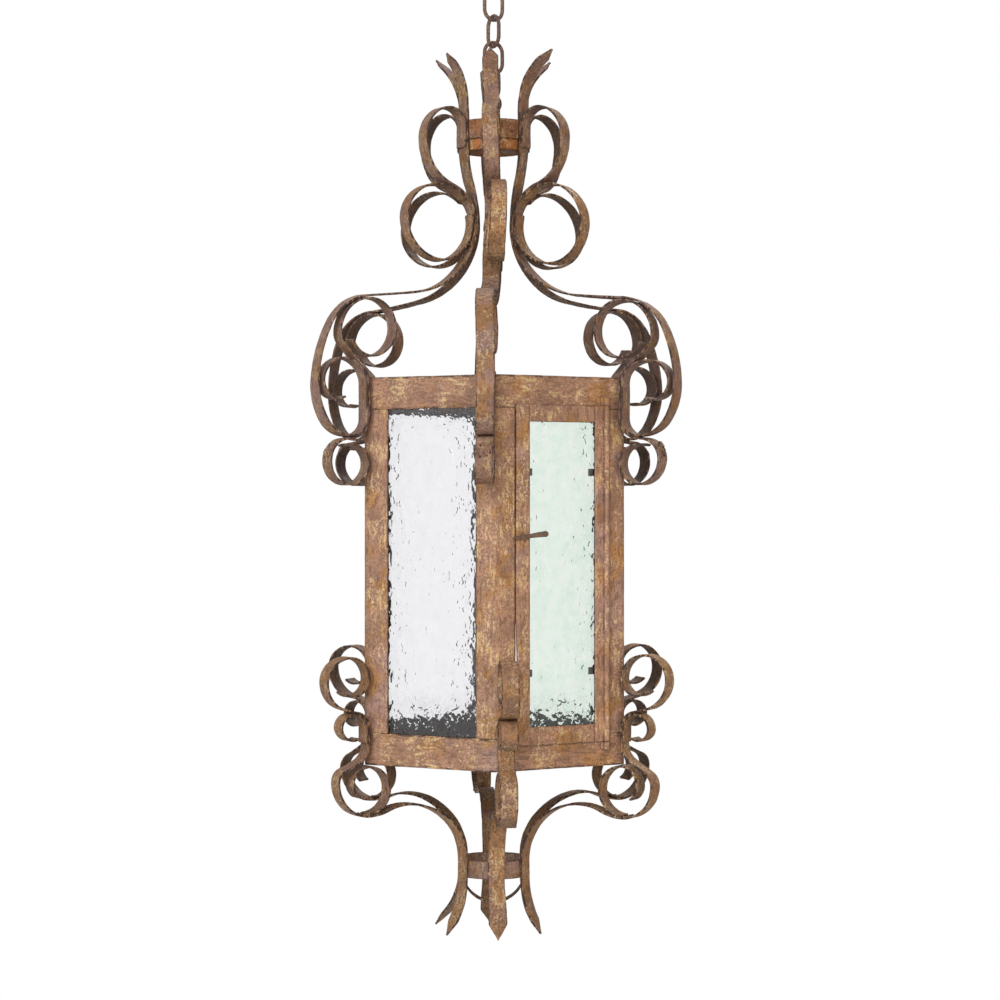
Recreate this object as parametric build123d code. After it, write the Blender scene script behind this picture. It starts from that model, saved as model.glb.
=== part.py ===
from build123d import *
import os
from math import atan2, cos, degrees, hypot, radians, sin, sqrt

os.makedirs("parts", exist_ok=True)

# A six-sided lantern of strap iron and glass, hung by a chain, in millimetres.
# The origin is inside the top of the hanging ring, on the lantern's axis, and +Z is up.

# Strap iron that the bars and scrolls are bent from
strap_width = 19.0
strap_thick = 2.5
touch = 0.2                 # gap left between irons that lie on each other
seat = 0.1                  # gap left between flat pieces that sit on each other

# Chain, and the hanging ring, which is an oval like its links
wire = 4.4                  # diameter of the chain's wire
link_length = 39.6          # over all
link_width = 28.0           # over all
link_count = 3              # under the hanging ring
link_play = 0.2             # gap between the wires of two links
chain_turn = 30.0           # the hanging ring's plane, from +X

# Collar and the eye on it
eye_bore = 13.0             # inside diameter of the eye
eye_rise = 11.5             # eye's underside above the collar band
shank_r = 3.0
shank_play = 0.05
shoulder_r = 7.0            # the shank's shoulder inside the cup
shoulder_thick = 2.5
nut_flats = 10.0
nut_height = 5.0
shank_past_nut = 1.0
collar_r = 39.0
collar_height = 22.5
band_thick = 2.4            # sheet that the collar, bands, posts and door are made of
cup_wall = 2.0
cup_rim_drop = 5.0          # cup's rim below the collar band's top
cup_depth = 29.5
rivet_r = 2.0
rivet_head_r = 4.0
rivet_head_height = 2.4
rivet_drop = 11.0           # rivets below the collar band's top
rivet_play = 0.05
rivet_tail_r = 3.0
rivet_tail_height = 1.2

# Body
corner_r = 167.5            # axis to the body's outer corners
body_drop = 297.0           # body's top below the collar band's top
body_height = 432.0
band_height = 36.0          # of the top and bottom bands
post_wing = 23.0            # each wing of a corner post
floor_ledge = 12.0          # ledge inside the bottom band
floor_thick = 2.0
floor_play = 0.3

# Upper bars, from the spike to the spiral beside the body
spike_straight = 16.0
spike_bend_r = 74.0
spike_turn = 54.0
spike_point = 13.0          # length of the picket point
bar_past_collar = 6.0
neck_r = 28.5               # axis to the bars at the neck
neck_drop = 121.5           # neck below the collar band's top
neck_bend_r = 72.0
neck_turn = 46.0
shoulder_slope = 5.0        # fall of the bar over the shoulder, in degrees
spiral_reach = 60.0         # spiral's widest point, out from its hold on the corner
spiral_low = 4.0            # widest point below the top of that hold
corner_bend_r = 20.0        # spiral's bend under the hold
inner_curl_r = 27.0         # spiral's bend over the hold
spiral_end_radii = (26.0, 19.0)
spiral_tail_r = 15.0
spiral_tail_turn = 30.0

# Where the shoulder scrolls lie on the corners
hold_drop = 7.5             # top of the hold below the body's top
hold_length = 38.0

# Shoulder scrolls, a curl over each corner and one beside it
rise_turn = 45.0
rise_straight = 31.0
rise_bend_r = 18.0
upper_curl_radii = (38.0, 33.0, 30.0)
upper_curl_tail_r = 26.0
upper_curl_tail_turn = 70.0
fall_turn = 80.0
lower_curl_r = 25.0
lower_curl_in_r = 23.0
lower_curl_end_r = 21.0
lower_curl_tail_r = 18.0
lower_curl_tail_turn = 25.0

# Ears on the collar
ear_foot_drop = 32.0        # ear's inner end below the collar band's top
ear_leg = 25.0
ear_top_r = 19.0
ear_reach = 54.0            # widest point, out from the bar
ear_low = 23.0              # widest point below the collar band's top
ear_wrap = 70.0             # how far round the neck ring the ear lies, in degrees
ear_tail_turn = 20.0

# Neck rings
neck_ring_r = 42.75
neck_ring_start = 165.0     # where round the ring it starts, from straight out
neck_ring_sweep = 335.0

# Lower bars, from the curl beside the body to the spike
low_hold_rise = 42.0        # top of the hold above the body's bottom
low_hold_length = 19.6
low_rise_r = 18.0
low_rise_turn = 75.0
low_curl_out_r = 31.0
low_curl_top_r = 28.0
low_curl_in_r = 25.0
low_curl_end_r = 19.0
low_curl_tail_r = 17.0
low_curl_tail_turn = 45.0
low_fall_r = 20.0
low_fall_turn = 55.0
low_reach = 38.0            # widest point, out from the hold
low_reach_drop = 21.0       # widest point below the body's bottom
dip_in = 0.5                # lowest point, in from the hold
dip_drop = 57.7             # lowest point below the body's bottom
hump_in = 49.5              # hump, in from the hold
hump_drop = 47.7            # hump below the body's bottom
tail_bend_r = 105.0
tail_turn = 37.0
tail_point = 17.0

# Curls under the body and in the lower bars' bends
under_curl_end_r = 20.0
under_curl_tail_r = 17.0
under_curl_tail_turn = 60.0
knuckle_foot = 3.0          # knuckle curl's foot above the low end of the hold
knuckle_radii = (15.0, 14.0)
knuckle_tail_r = 10.0
knuckle_tail_turn = 40.0

# Lower ring and the strap under it
lower_ring_r = 40.0
lower_ring_drop = 114.5     # ring's top below the body's bottom
lower_ring_height = 20.7
cradle_width = 14.0
cradle_thick = 2.0
cradle_inset = 6.0          # cradle's ends below the ring's top
cradle_leg = 10.0
cradle_drop = 51.5          # cradle's lowest point below the ring's top

# Glass and its tabs
glass_thick = 3.0
glass_play = 0.15
glass_lap = 7.0             # how far a fixed pane goes behind its frame
tab_thick = 1.2
tab_height = 8.0
tab_foot = 7.6
tab_grip = 6.0              # how far a tab goes over a fixed pane
tab_from_end = 70.0         # middle of a tab from the end of the opening

# Door
door_gap = 0.8              # between the door and the latch side's post
door_over_post = 0.3        # how far its hinge edge covers the other post
door_stand = 0.4            # door's back in front of the face
door_over_top = 4.0         # how far it covers the top band
door_over_bottom = 9.0      # how far it covers the bottom band
door_stile = 18.0
door_top_rail = 19.0
door_bottom_rail = 20.5
door_lap = 6.0
door_tab_grip = 12.0        # how far its tabs go over its glass
barrel_r = 3.6              # rolled edge of the hinge stile
pin_r = 2.0
pin_press = 0.03            # pin in the rolled edge
pin_run = 0.06              # pin in its socket
pin_in = 14.0
socket_wall = 1.6
socket_height = 8.0
socket_gap = 0.4
socket_foot = 12.0
socket_foot_thick = 1.8

# Latch
latch_drop = 145.0          # latch below the door's top
latch_pin_r = 2.0
latch_run = 0.06
latch_press = 0.03
latch_width = 7.0
latch_thick = 2.0
latch_tail = 11.0           # handle past the pin, towards the post
latch_flat = 21.0           # straight part of the handle, from the pin
latch_flick_r = 8.0
latch_flick = 35.0
latch_end = 6.0
latch_stand = 0.3           # handle in front of the door
tongue_length = 20.0
tongue_back = 0.9           # tongue behind the post's wing
latch_head_r = 3.5
latch_head_thick = 1.4

# Candle cup and drip pan
cup_bore_r = 11.0
candle_cup_wall = 2.0
candle_cup_height = 20.0
candle_cup_floor = 2.5
pan_r = 42.0
pan_lip_out = 6.0
pan_lip_rise = 7.0
pan_thick = 1.2

# Levels, from the hanging ring down
link_step = link_length - 2 * wire - link_play
first_hinge_z = 1.5 * wire - link_length
hinge_levels = [first_hinge_z - i * link_step for i in range(link_count + 1)]
eye_r = (eye_bore + wire) / 2
eye_z = hinge_levels[-1] + wire + link_play - eye_r
collar_z = eye_z - eye_r - wire / 2 - eye_rise
neck_z = collar_z - neck_drop
cup_z = collar_z - cup_rim_drop - cup_depth
body_top = collar_z - body_drop
body_bottom = body_top - body_height
hold_top = body_top - hold_drop
hold_low = hold_top - hold_length
low_hold_top = body_bottom + low_hold_rise
low_hold_low = low_hold_top - low_hold_length
dip_z = body_bottom - dip_drop
lower_ring_z = body_bottom - lower_ring_drop

# Lines that the straps' middles follow, out from the axis
layer = strap_thick + touch
bar_line = collar_r + touch + strap_thick / 2
post_line = corner_r + touch + strap_thick / 2
second_line = post_line + layer
tail_line = lower_ring_r + touch + strap_thick / 2
dip_line = post_line - dip_in

# The six-sided body
sides = 6
face_turn = 360 / sides
corner_angles = [-90 + face_turn * k for k in range(sides)]
face_angles = [angle + face_turn / 2 for angle in corner_angles]
half_turn = face_turn / 2
apothem = corner_r * cos(radians(half_turn))
half_side = corner_r * sin(radians(half_turn))
wall_at_corner = band_thick / cos(radians(half_turn))
opening_half = half_side - post_wing
opening_top = body_top - band_height
opening_low = body_bottom + band_height


def step(point, heading, along, left=0.0):
    """The place so far along a heading, and so far to its left."""
    turn = radians(heading)
    return (
        point[0] + along * cos(turn) - left * sin(turn),
        point[1] + along * sin(turn) + left * cos(turn),
    )


class Path:
    """The middle line of a bent strap, made of straight runs and tangent arcs."""

    def __init__(self, out, up, heading):
        self.point = (out, up)
        self.heading = heading
        self.legs = []

    def leg(self, point, turn):
        self.legs.append((self.point, self.heading, point, turn))
        self.point = point
        self.heading += turn
        return self

    def run(self, length):
        return self.leg(step(self.point, self.heading, length), 0.0)

    def bend(self, radius, turn):
        side = radius if turn > 0 else -radius
        centre = step(self.point, self.heading, 0.0, side)
        return self.leg(step(centre, self.heading + turn, 0.0, -side), turn)

    def arc_to(self, point):
        chord = degrees(atan2(point[1] - self.point[1], point[0] - self.point[0]))
        return self.leg(point, 2 * ((chord - self.heading + 180) % 360 - 180))

    def join(self, out, up, heading):
        """Two arcs, tangent to each other, that end at a place and heading."""
        a, b = radians(self.heading), radians(heading)
        across, rise = out - self.point[0], up - self.point[1]
        lean = across * (cos(a) + cos(b)) + rise * (sin(a) + sin(b))
        spread = 2 * (1 - cos(a - b))
        reach = across**2 + rise**2
        if spread < 1e-9:
            arm = reach / (2 * lean)
        else:
            arm = (sqrt(lean**2 + spread * reach) - lean) / spread
        middle = (
            (self.point[0] + out + arm * (cos(a) - cos(b))) / 2,
            (self.point[1] + up + arm * (sin(a) - sin(b))) / 2,
        )
        return self.arc_to(middle).arc_to((out, up))

    def backwards(self):
        """The same line, followed from its end."""
        turned = Path(*self.point, self.heading + 180)
        for point, _, _, turn in reversed(self.legs):
            turned.leg(point, -turn)
        return turned

    def then(self, other):
        self.legs += other.legs
        self.point = other.point
        self.heading = other.heading
        return self


def strap(path, width=strap_width, thick=strap_thick):
    """A strap on edge along a path in the XZ plane, with its width across Y."""
    lines = []
    ends = []
    for side in (thick / 2, -thick / 2):
        for point, heading, far, turn in path.legs:
            start = step(point, heading, 0.0, side)
            end = step(far, heading + turn, 0.0, side)
            if abs(turn) < 1e-6:
                lines.append(Line(flat(start), flat(end)))
                continue
            chord = hypot(far[0] - point[0], far[1] - point[1])
            bend_r = chord / (2 * sin(radians(turn / 2)))
            centre = step(point, heading, 0.0, bend_r)
            middle = step(centre, heading + turn / 2, 0.0, side - bend_r)
            lines.append(ThreePointArc(flat(start), flat(middle), flat(end)))
        first_point, first_heading = path.legs[0][:2]
        ends.append((step(first_point, first_heading, 0.0, side), end))
    for one, other in zip(*ends):
        lines.append(Line(flat(one), flat(other)))
    return extrude(make_face(lines), amount=width / 2, both=True)


def flat(point):
    """A place in the strap's plane, as a place in space."""
    return (point[0], 0, point[1])


def pointed(iron, path, length):
    """A strap with its end cut to a picket point."""
    turn = radians(path.heading)
    along = (cos(turn), 0, sin(turn))
    face = (-sin(turn), 0, cos(turn))
    at_tip = Plane(origin=flat(path.point), x_dir=along, z_dir=face)
    half = strap_width / 2
    for side in (1, -1):
        waste = Polygon(
            (-length, side * half),
            (0, 0),
            (strap_thick, 0),
            (strap_thick, side * strap_width),
            (-length, side * strap_width),
            align=None,
        )
        iron -= extrude(at_tip * waste, amount=strap_width / 2, both=True)
    return iron


def at_corners(iron):
    """A piece made beside +X, repeated at the six corners."""
    return [Rot(0, 0, angle) * iron for angle in corner_angles]


def face_plane(angle):
    """Across a face, up it and out of it, from the middle of the face at height zero."""
    turn = radians(angle)
    out = (cos(turn), sin(turn), 0)
    return Plane(
        origin=(apothem * out[0], apothem * out[1], 0),
        x_dir=(-out[1], out[0], 0),
        z_dir=out,
    )


def block(across, up, out):
    """A block on a face, between two limits each way."""
    spans = [limits[1] - limits[0] for limits in (across, up, out)]
    middle = [sum(limits) / 2 for limits in (across, up, out)]
    return Pos(*middle) * Box(*spans)


def save(name, pieces):
    if isinstance(pieces, list):
        pieces = Compound(children=[piece.solid() for piece in pieces])
    export_step(pieces, f"parts/{name}.step")


def save_each(name, pieces):
    for number, piece in enumerate(pieces, 1):
        save(f"{name}_{number}", piece.solid())


def hexagon(radius):
    corners = [(radius * cos(radians(a)), radius * sin(radians(a))) for a in corner_angles]
    return Polygon(*corners, align=None)


def tube(outer, inner, top, height):
    """An upright tube on the axis, down from its top."""
    wall = Cylinder(outer, height) - Cylinder(inner, height)
    return Pos(0, 0, top - height / 2) * wall


def wire_ring(radius, z, turn):
    """A ring of wire in an upright plane."""
    return Pos(0, 0, z) * Rot(0, 0, turn) * Rot(90, 0, 0) * Torus(radius, wire / 2)


# Hanging ring and chain, each oval's lower wire on the hinge that the next one swings on
link_bend_r = (link_width - wire) / 2
link_side = link_length - link_width
half_bend = Rot(90, 0, 0) * revolve(Plane.XZ * Pos(link_bend_r, 0) * Circle(wire / 2), Axis.Z, 180)
link = Pos(0, 0, link_side / 2) * half_bend
link += Pos(0, 0, -link_side / 2) * Rot(180, 0, 0) * half_bend
for side in (link_bend_r, -link_bend_r):
    link += Pos(side, 0, 0) * Cylinder(wire / 2, link_side)
for number, level in enumerate(hinge_levels):
    link_z = level + (link_length - wire) / 2
    turned = Rot(0, 0, chain_turn + 90 * number)
    name = f"chain_link_{number}" if number else "hanging_ring"
    save(name, Pos(0, 0, link_z) * turned * link)

# Collar band, with the cup that hangs in it
cup_r = collar_r - band_thick - seat
rivet_z = collar_z - rivet_drop
rivet_angles = (face_angles[0], face_angles[0] + 180)
shank_hole = Pos(0, 0, cup_z) * Cylinder(shank_r + shank_play, 3 * cup_wall)
collar_band = tube(collar_r, collar_r - band_thick, collar_z, collar_height)
collar_cup = tube(cup_r, cup_r - cup_wall, collar_z - cup_rim_drop, cup_depth)
collar_cup += Pos(0, 0, cup_z + cup_wall / 2) * Cylinder(cup_r, cup_wall)
collar_cup -= shank_hole
rivets = []
for angle in rivet_angles:
    along = Rot(0, 0, angle) * Pos(0, 0, rivet_z) * Rot(0, 90, 0)
    hole = along * Pos(0, 0, collar_r) * Cylinder(rivet_r + rivet_play, collar_r / 2)
    collar_band -= hole
    collar_cup -= hole
    head_from = collar_r + seat
    inside = cup_r - cup_wall
    tail_from = sqrt(inside**2 - rivet_tail_r**2) - seat
    shank_mid = (head_from + tail_from) / 2
    rivet = Pos(0, 0, shank_mid) * Cylinder(rivet_r, head_from - tail_from)
    head = Pos(0, 0, head_from + rivet_head_height / 2) * Cylinder(rivet_head_r, rivet_head_height)
    rivet += fillet(head.edges().sort_by(Axis.Z)[-1], rivet_head_height * 0.8)
    rivet += Pos(0, 0, tail_from - rivet_tail_height / 2) * Cylinder(rivet_tail_r, rivet_tail_height)
    rivets.append(along * rivet)
save("collar_band", collar_band)
save("collar_cup", collar_cup)
save("collar_rivets", rivets)

# Eye, its shank through the cup, and the nut under it
eye_turn = chain_turn + 90 * len(hinge_levels)
shank_top = eye_z - eye_r
shoulder_z = cup_z + cup_wall + seat
nut_top = cup_z - seat
shank_low = nut_top - nut_height - shank_past_nut
eye = wire_ring(eye_r, eye_z, eye_turn)
eye += Pos(0, 0, (shank_top + shank_low) / 2) * Cylinder(shank_r, shank_top - shank_low)
eye += Pos(0, 0, shoulder_z + shoulder_thick / 2) * Cylinder(shoulder_r, shoulder_thick)
save("hanger_eye", eye)
nut_r = nut_flats / 2 / cos(radians(30))
nut = extrude(hexagon(nut_r) - Circle(shank_r + shank_play), amount=-nut_height)
save("hanger_nut", Pos(0, 0, nut_top) * nut)

# Shoulder scrolls, lying on the corners
rise = Path(post_line, hold_top, 90)
rise.bend(inner_curl_r + layer, -rise_turn).run(rise_straight).bend(rise_bend_r, rise_turn)
curl_middle = step(rise.point, 180, upper_curl_radii[0])
for radius in upper_curl_radii:
    rise.bend(radius, 90)
rise.bend(upper_curl_tail_r, upper_curl_tail_turn)
fall_bend_r = corner_bend_r + layer
fall_share = cos(radians(fall_turn))
fall_run = touch + lower_curl_r * fall_share + lower_curl_in_r - fall_bend_r * (1 - fall_share)
fall = Path(post_line, hold_top, -90).run(hold_length).bend(fall_bend_r, fall_turn)
fall.run(fall_run / sin(radians(fall_turn))).bend(lower_curl_r, -fall_turn)
for radius in (lower_curl_r, lower_curl_in_r, lower_curl_end_r):
    fall.bend(radius, -90)
fall.bend(lower_curl_tail_r, -lower_curl_tail_turn)
save_each("shoulder_scroll", at_corners(strap(rise.backwards().then(fall))))

# Upper bars, over the shoulder scrolls and round outside them
spike = Path(bar_line, collar_z, 90).run(spike_straight).bend(spike_bend_r, -spike_turn)
neck = Path(bar_line, collar_z, -90).run(collar_height + bar_past_collar)
neck.join(neck_r, neck_z, -90).bend(neck_bend_r, neck_turn)
neck.join(*step(curl_middle, 90 - shoulder_slope, upper_curl_radii[0] + layer), -shoulder_slope)
neck.join(second_line + spiral_reach, hold_top - spiral_low, -90)
neck.join(second_line + corner_bend_r, hold_low - corner_bend_r, -180)
neck.bend(corner_bend_r, -90).run(hold_length).bend(inner_curl_r, -90)
for radius in spiral_end_radii:
    neck.bend(radius, -90)
neck.bend(spiral_tail_r, -spiral_tail_turn)
upper_bar = strap(spike.backwards().then(neck))
save_each("upper_bar", at_corners(pointed(upper_bar, spike, spike_point)))

# Neck rings, and the ears that lie between them and the bars
ring_out = neck_r + 2 * layer + neck_ring_r
ring_start = step((ring_out, neck_z), neck_ring_start, neck_ring_r)
neck_ring = Path(*ring_start, neck_ring_start + 90)
neck_ring.bend(neck_ring_r, neck_ring_sweep / 2).bend(neck_ring_r, neck_ring_sweep / 2)
save("neck_rings", at_corners(strap(neck_ring)))

ear = Path(bar_line + layer, collar_z - ear_foot_drop, 90).run(ear_leg).bend(ear_top_r, -90)
ear.join(bar_line + ear_reach, collar_z - ear_low, -90)
ear.join(*step((ring_out, neck_z), 180 - ear_wrap, neck_ring_r + layer), -90 - ear_wrap)
ear.bend(neck_ring_r + layer, ear_wrap).bend(neck_bend_r - layer, ear_tail_turn)
save("collar_scrolls", at_corners(strap(ear)))

# Lower bars
curl_lean = 90 - low_rise_turn
curl_share = 1 - sin(radians(curl_lean))
curl_run = touch + low_curl_top_r + low_curl_in_r - (low_rise_r + low_curl_out_r) * curl_share
low_rise = Path(post_line, low_hold_top, 90).bend(low_rise_r, -low_rise_turn)
low_rise.run(curl_run / cos(radians(curl_lean))).bend(low_curl_out_r, low_rise_turn)
for radius in (low_curl_top_r, low_curl_in_r, low_curl_end_r):
    low_rise.bend(radius, 90)
low_rise.bend(low_curl_tail_r, low_curl_tail_turn)
tail = Path(post_line, low_hold_top, -90).run(low_hold_length).bend(low_fall_r, low_fall_turn)
tail.join(post_line + low_reach, body_bottom - low_reach_drop, -90)
tail.join(dip_line, dip_z, -180)
tail.join(post_line - hump_in, body_bottom - hump_drop, -180)
tail.join(tail_line, lower_ring_z, -90).run(lower_ring_height).bend(tail_bend_r, tail_turn)
lower_bar = strap(low_rise.backwards().then(tail))
save_each("lower_bar", at_corners(pointed(lower_bar, tail, tail_point)))

# Curls between the body's bottom and the lower bars
under_curl_r = (body_bottom - touch - strap_thick / 2 - dip_z - layer) / 2
under_curl = Path(dip_line, dip_z + layer, -180).bend(under_curl_r, -180)
under_curl.bend(under_curl_end_r, -90).bend(under_curl_tail_r, -under_curl_tail_turn)
save("under_curls", at_corners(strap(under_curl)))

# Knuckle curls, in the bends beside the body
knuckle = Path(second_line, low_hold_low + knuckle_foot, 90)
knuckle.run(low_hold_length - knuckle_foot).bend(low_rise_r - layer, -90)
for radius in knuckle_radii:
    knuckle.bend(radius, -90)
knuckle.bend(knuckle_tail_r, -knuckle_tail_turn)
save("knuckle_curls", at_corners(strap(knuckle)))

# Lower ring and the cradle strap under it
ring_inside = lower_ring_r - band_thick
save("lower_ring", tube(lower_ring_r, ring_inside, lower_ring_z, lower_ring_height))
cradle_line = sqrt(ring_inside**2 - (cradle_width / 2) ** 2) - touch - cradle_thick / 2
cradle = Path(-cradle_line, lower_ring_z - cradle_inset, -90).run(cradle_leg)
cradle.join(0, lower_ring_z - cradle_drop, 0)
cradle.join(cradle_line, lower_ring_z - cradle_inset - cradle_leg, 90).run(cradle_leg)
save("bottom_strap", strap(cradle, cradle_width, cradle_thick))

# Bands, and the posts between them
inner_r = corner_r - wall_at_corner
hoop = extrude(hexagon(corner_r) - hexagon(inner_r), amount=-band_height)
ledge_r = inner_r - floor_ledge / cos(radians(half_turn))
ledge = extrude(hexagon(corner_r) - hexagon(ledge_r), amount=band_thick)
save("top_band", Pos(0, 0, body_top) * hoop)
save("bottom_band", Pos(0, 0, opening_low) * hoop + Pos(0, 0, body_bottom) * ledge)

wing_turn = 90 + half_turn
wing_ends = []
for side in (1, -1):
    outer_end = step((corner_r, 0), side * wing_turn, post_wing)
    wing_ends.append((outer_end, step(outer_end, side * half_turn, -band_thick)))
(left_out, left_in), (right_out, right_in) = wing_ends
angle_iron = Polygon(
    (corner_r, 0), left_out, left_in, (inner_r, 0), right_in, right_out, align=None
)
post_height = opening_top - opening_low - 2 * seat
post = Pos(0, 0, opening_low + seat) * extrude(angle_iron, amount=post_height)
save_each("corner_post", at_corners(post))

# Fixed panes, on every face but the door's, and the tabs that hold them
pane_out = -band_thick - glass_play
pane_half = opening_half + glass_lap
pane = block(
    (-pane_half, pane_half),
    (opening_low - glass_lap, opening_top + glass_lap),
    (pane_out - glass_thick, pane_out),
)


def tab(edge, foot_out, glass_back, grip, up):
    """A bent tab at a pane's edge: a foot on the frame, a step, and a grip over the glass."""
    foot_in = foot_out - seat
    grip_out = glass_back - seat
    section = Polygon(
        (edge + tab_foot, foot_in),
        (edge, foot_in),
        (edge, grip_out),
        (edge - grip, grip_out),
        (edge - grip, grip_out - tab_thick),
        (edge + tab_thick, grip_out - tab_thick),
        (edge + tab_thick, foot_in - tab_thick),
        (edge + tab_foot, foot_in - tab_thick),
        align=None,
    )
    upright = Plane.XZ * section
    return Pos(0, up, 0) * extrude(upright, amount=tab_height / 2, both=True)


def paired_tabs(one, other):
    """The tab at one edge of a pane, and its mirror image at the other."""
    return [one, mirror(other, Plane.YZ)]


pane_tabs = []
tab_levels = (opening_low + tab_from_end, opening_top - tab_from_end)
for number, angle in enumerate(face_angles[1:], 1):
    on_face = face_plane(angle)
    save(f"pane_{number}", (on_face * pane).solid())
    for level in tab_levels:
        clip = tab(pane_half + touch, -band_thick, pane_out - glass_thick, tab_grip, level)
        pane_tabs += [on_face * one for one in paired_tabs(clip, clip)]
save("pane_tabs", pane_tabs)

# Floor, drip pan and candle cup
floor_z = body_bottom + band_thick + seat
floor_r = inner_r - floor_play / cos(radians(half_turn))
save("floor_plate", Pos(0, 0, floor_z) * extrude(hexagon(floor_r), amount=floor_thick))
pan_z = floor_z + floor_thick + seat
pan_section = Polygon(
    (0, 0),
    (pan_r, 0),
    (pan_r + pan_lip_out, pan_lip_rise),
    (pan_r + pan_lip_out - pan_thick, pan_lip_rise),
    (pan_r - pan_thick, pan_thick),
    (0, pan_thick),
    align=None,
)
save("drip_pan", Pos(0, 0, pan_z) * revolve(Plane.XZ * pan_section, Axis.Z))
candle_z = pan_z + pan_thick + seat
candle_cup = Cylinder(cup_bore_r + candle_cup_wall, candle_cup_height)
bore_depth = candle_cup_height - candle_cup_floor
candle_cup -= Pos(0, 0, candle_cup_floor / 2) * Cylinder(cup_bore_r, bore_depth)
save("candle_cup", Pos(0, 0, candle_z + candle_cup_height / 2) * candle_cup)

# Door frame, with the rolled edge that its pins go in
door_face = face_plane(face_angles[0])
door_left = -opening_half + door_gap
door_right = opening_half + door_over_post
pivot_across = door_right - barrel_r
pivot_out = door_stand + barrel_r
door_top = opening_top + door_over_top
door_low = opening_low - door_over_bottom
door_front = door_stand + band_thick
light_left = door_left + door_stile
light_right = door_right - door_stile
light_low = door_low + door_bottom_rail
light_top = door_top - door_top_rail
latch_across = door_left + door_stile / 2
latch_z = door_top - latch_drop


def upright_rod(radius, low, high):
    """A rod on the door's pivot line."""
    rod = Rot(90, 0, 0) * Cylinder(radius, high - low)
    return Pos(pivot_across, (low + high) / 2, pivot_out) * rod


sheet = (door_stand, door_front)
door_frame = block((door_left, pivot_across), (door_low, door_top), sheet)
door_frame -= block((light_left, light_right), (light_low, light_top), (0, 2 * door_front))
door_frame += upright_rod(barrel_r, door_low, door_top)
door_frame -= upright_rod(pin_r + pin_press, door_low, door_top)
latch_hole = Cylinder(latch_pin_r + latch_run, 2 * door_front)
door_frame -= Pos(latch_across, latch_z, door_stand) * latch_hole
save("door_frame", (door_face * door_frame).solid())

# Door glass and its tabs
door_glass_out = door_stand - glass_play
door_glass_back = door_glass_out - glass_thick
door_glass_left = light_left - door_lap
door_glass_right = light_right + door_lap
door_pane = block(
    (door_glass_left, door_glass_right),
    (light_low - door_lap, light_top + door_lap),
    (door_glass_back, door_glass_out),
)
save("door_pane", (door_face * door_pane).solid())
door_tabs = []
for level in tab_levels:
    right_tab = tab(door_glass_right + touch, door_stand, door_glass_back, door_tab_grip, level)
    left_tab = tab(touch - door_glass_left, door_stand, door_glass_back, door_tab_grip, level)
    door_tabs += [door_face * one for one in paired_tabs(right_tab, left_tab)]
save("door_tabs", door_tabs)

# Pivot pins, and the sockets on the bands that they turn in
pins = []
sockets = []
for edge, way in ((door_top, 1), (door_low, -1)):
    near = edge + way * socket_gap
    far = near + way * socket_height
    pins.append(door_face * upright_rod(pin_r, *sorted((edge - way * pin_in, far))))
    span = sorted((near, far))
    foot_span = (pivot_across - socket_foot / 2, pivot_across + socket_foot / 2)
    socket = upright_rod(pin_r + socket_wall, *span)
    socket += block(foot_span, span, (seat, seat + socket_foot_thick))
    socket -= upright_rod(pin_r + pin_run, *span)
    sockets.append(door_face * socket)
save("door_pivot_pins", pins)
save("pivot_sockets", sockets)

# Latch: a handle outside, a tongue inside that turns behind the post, and the pin through both
handle_out = door_front + latch_stand + latch_thick / 2
lever_tail = latch_across - latch_tail
handle = Path(lever_tail, handle_out, 0).run(latch_tail + latch_flat)
handle.bend(latch_flick_r, latch_flick).run(latch_end)
tongue_out = -band_thick - tongue_back
latch_tongue = block(
    (-latch_width / 2, latch_width / 2),
    (-tongue_length, latch_width / 2),
    (tongue_out - latch_thick, tongue_out),
)
pin_front = door_front + latch_stand + latch_thick + seat
pin_back = tongue_out - latch_thick - seat
pin_hole = Cylinder(latch_pin_r + latch_press, 4 * door_stile)
latch_pin = Pos(0, 0, (pin_front + pin_back) / 2) * Cylinder(latch_pin_r, pin_front - pin_back)
for end, way in ((pin_front, 1), (pin_back, -1)):
    head_mid = end + way * latch_head_thick / 2
    latch_pin += Pos(0, 0, head_mid) * Cylinder(latch_head_r, latch_head_thick)
at_latch = Pos(latch_across, latch_z, 0)
lever = strap(handle, 2 * latch_width, latch_thick)
lever_reach = handle.point[0] - lever_tail
outline = Pos(lever_tail + lever_reach / 2, 0) * SlotOverall(lever_reach, latch_width)
lever &= extrude(outline, amount=4 * door_stile, both=True)
latch_handle = Pos(0, latch_z, 0) * lever - at_latch * pin_hole
save("latch_handle", (door_face * latch_handle).solid())
save("latch_tongue", (door_face * (at_latch * (latch_tongue - pin_hole))).solid())
save("latch_pin", (door_face * (at_latch * latch_pin)).solid())
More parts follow.
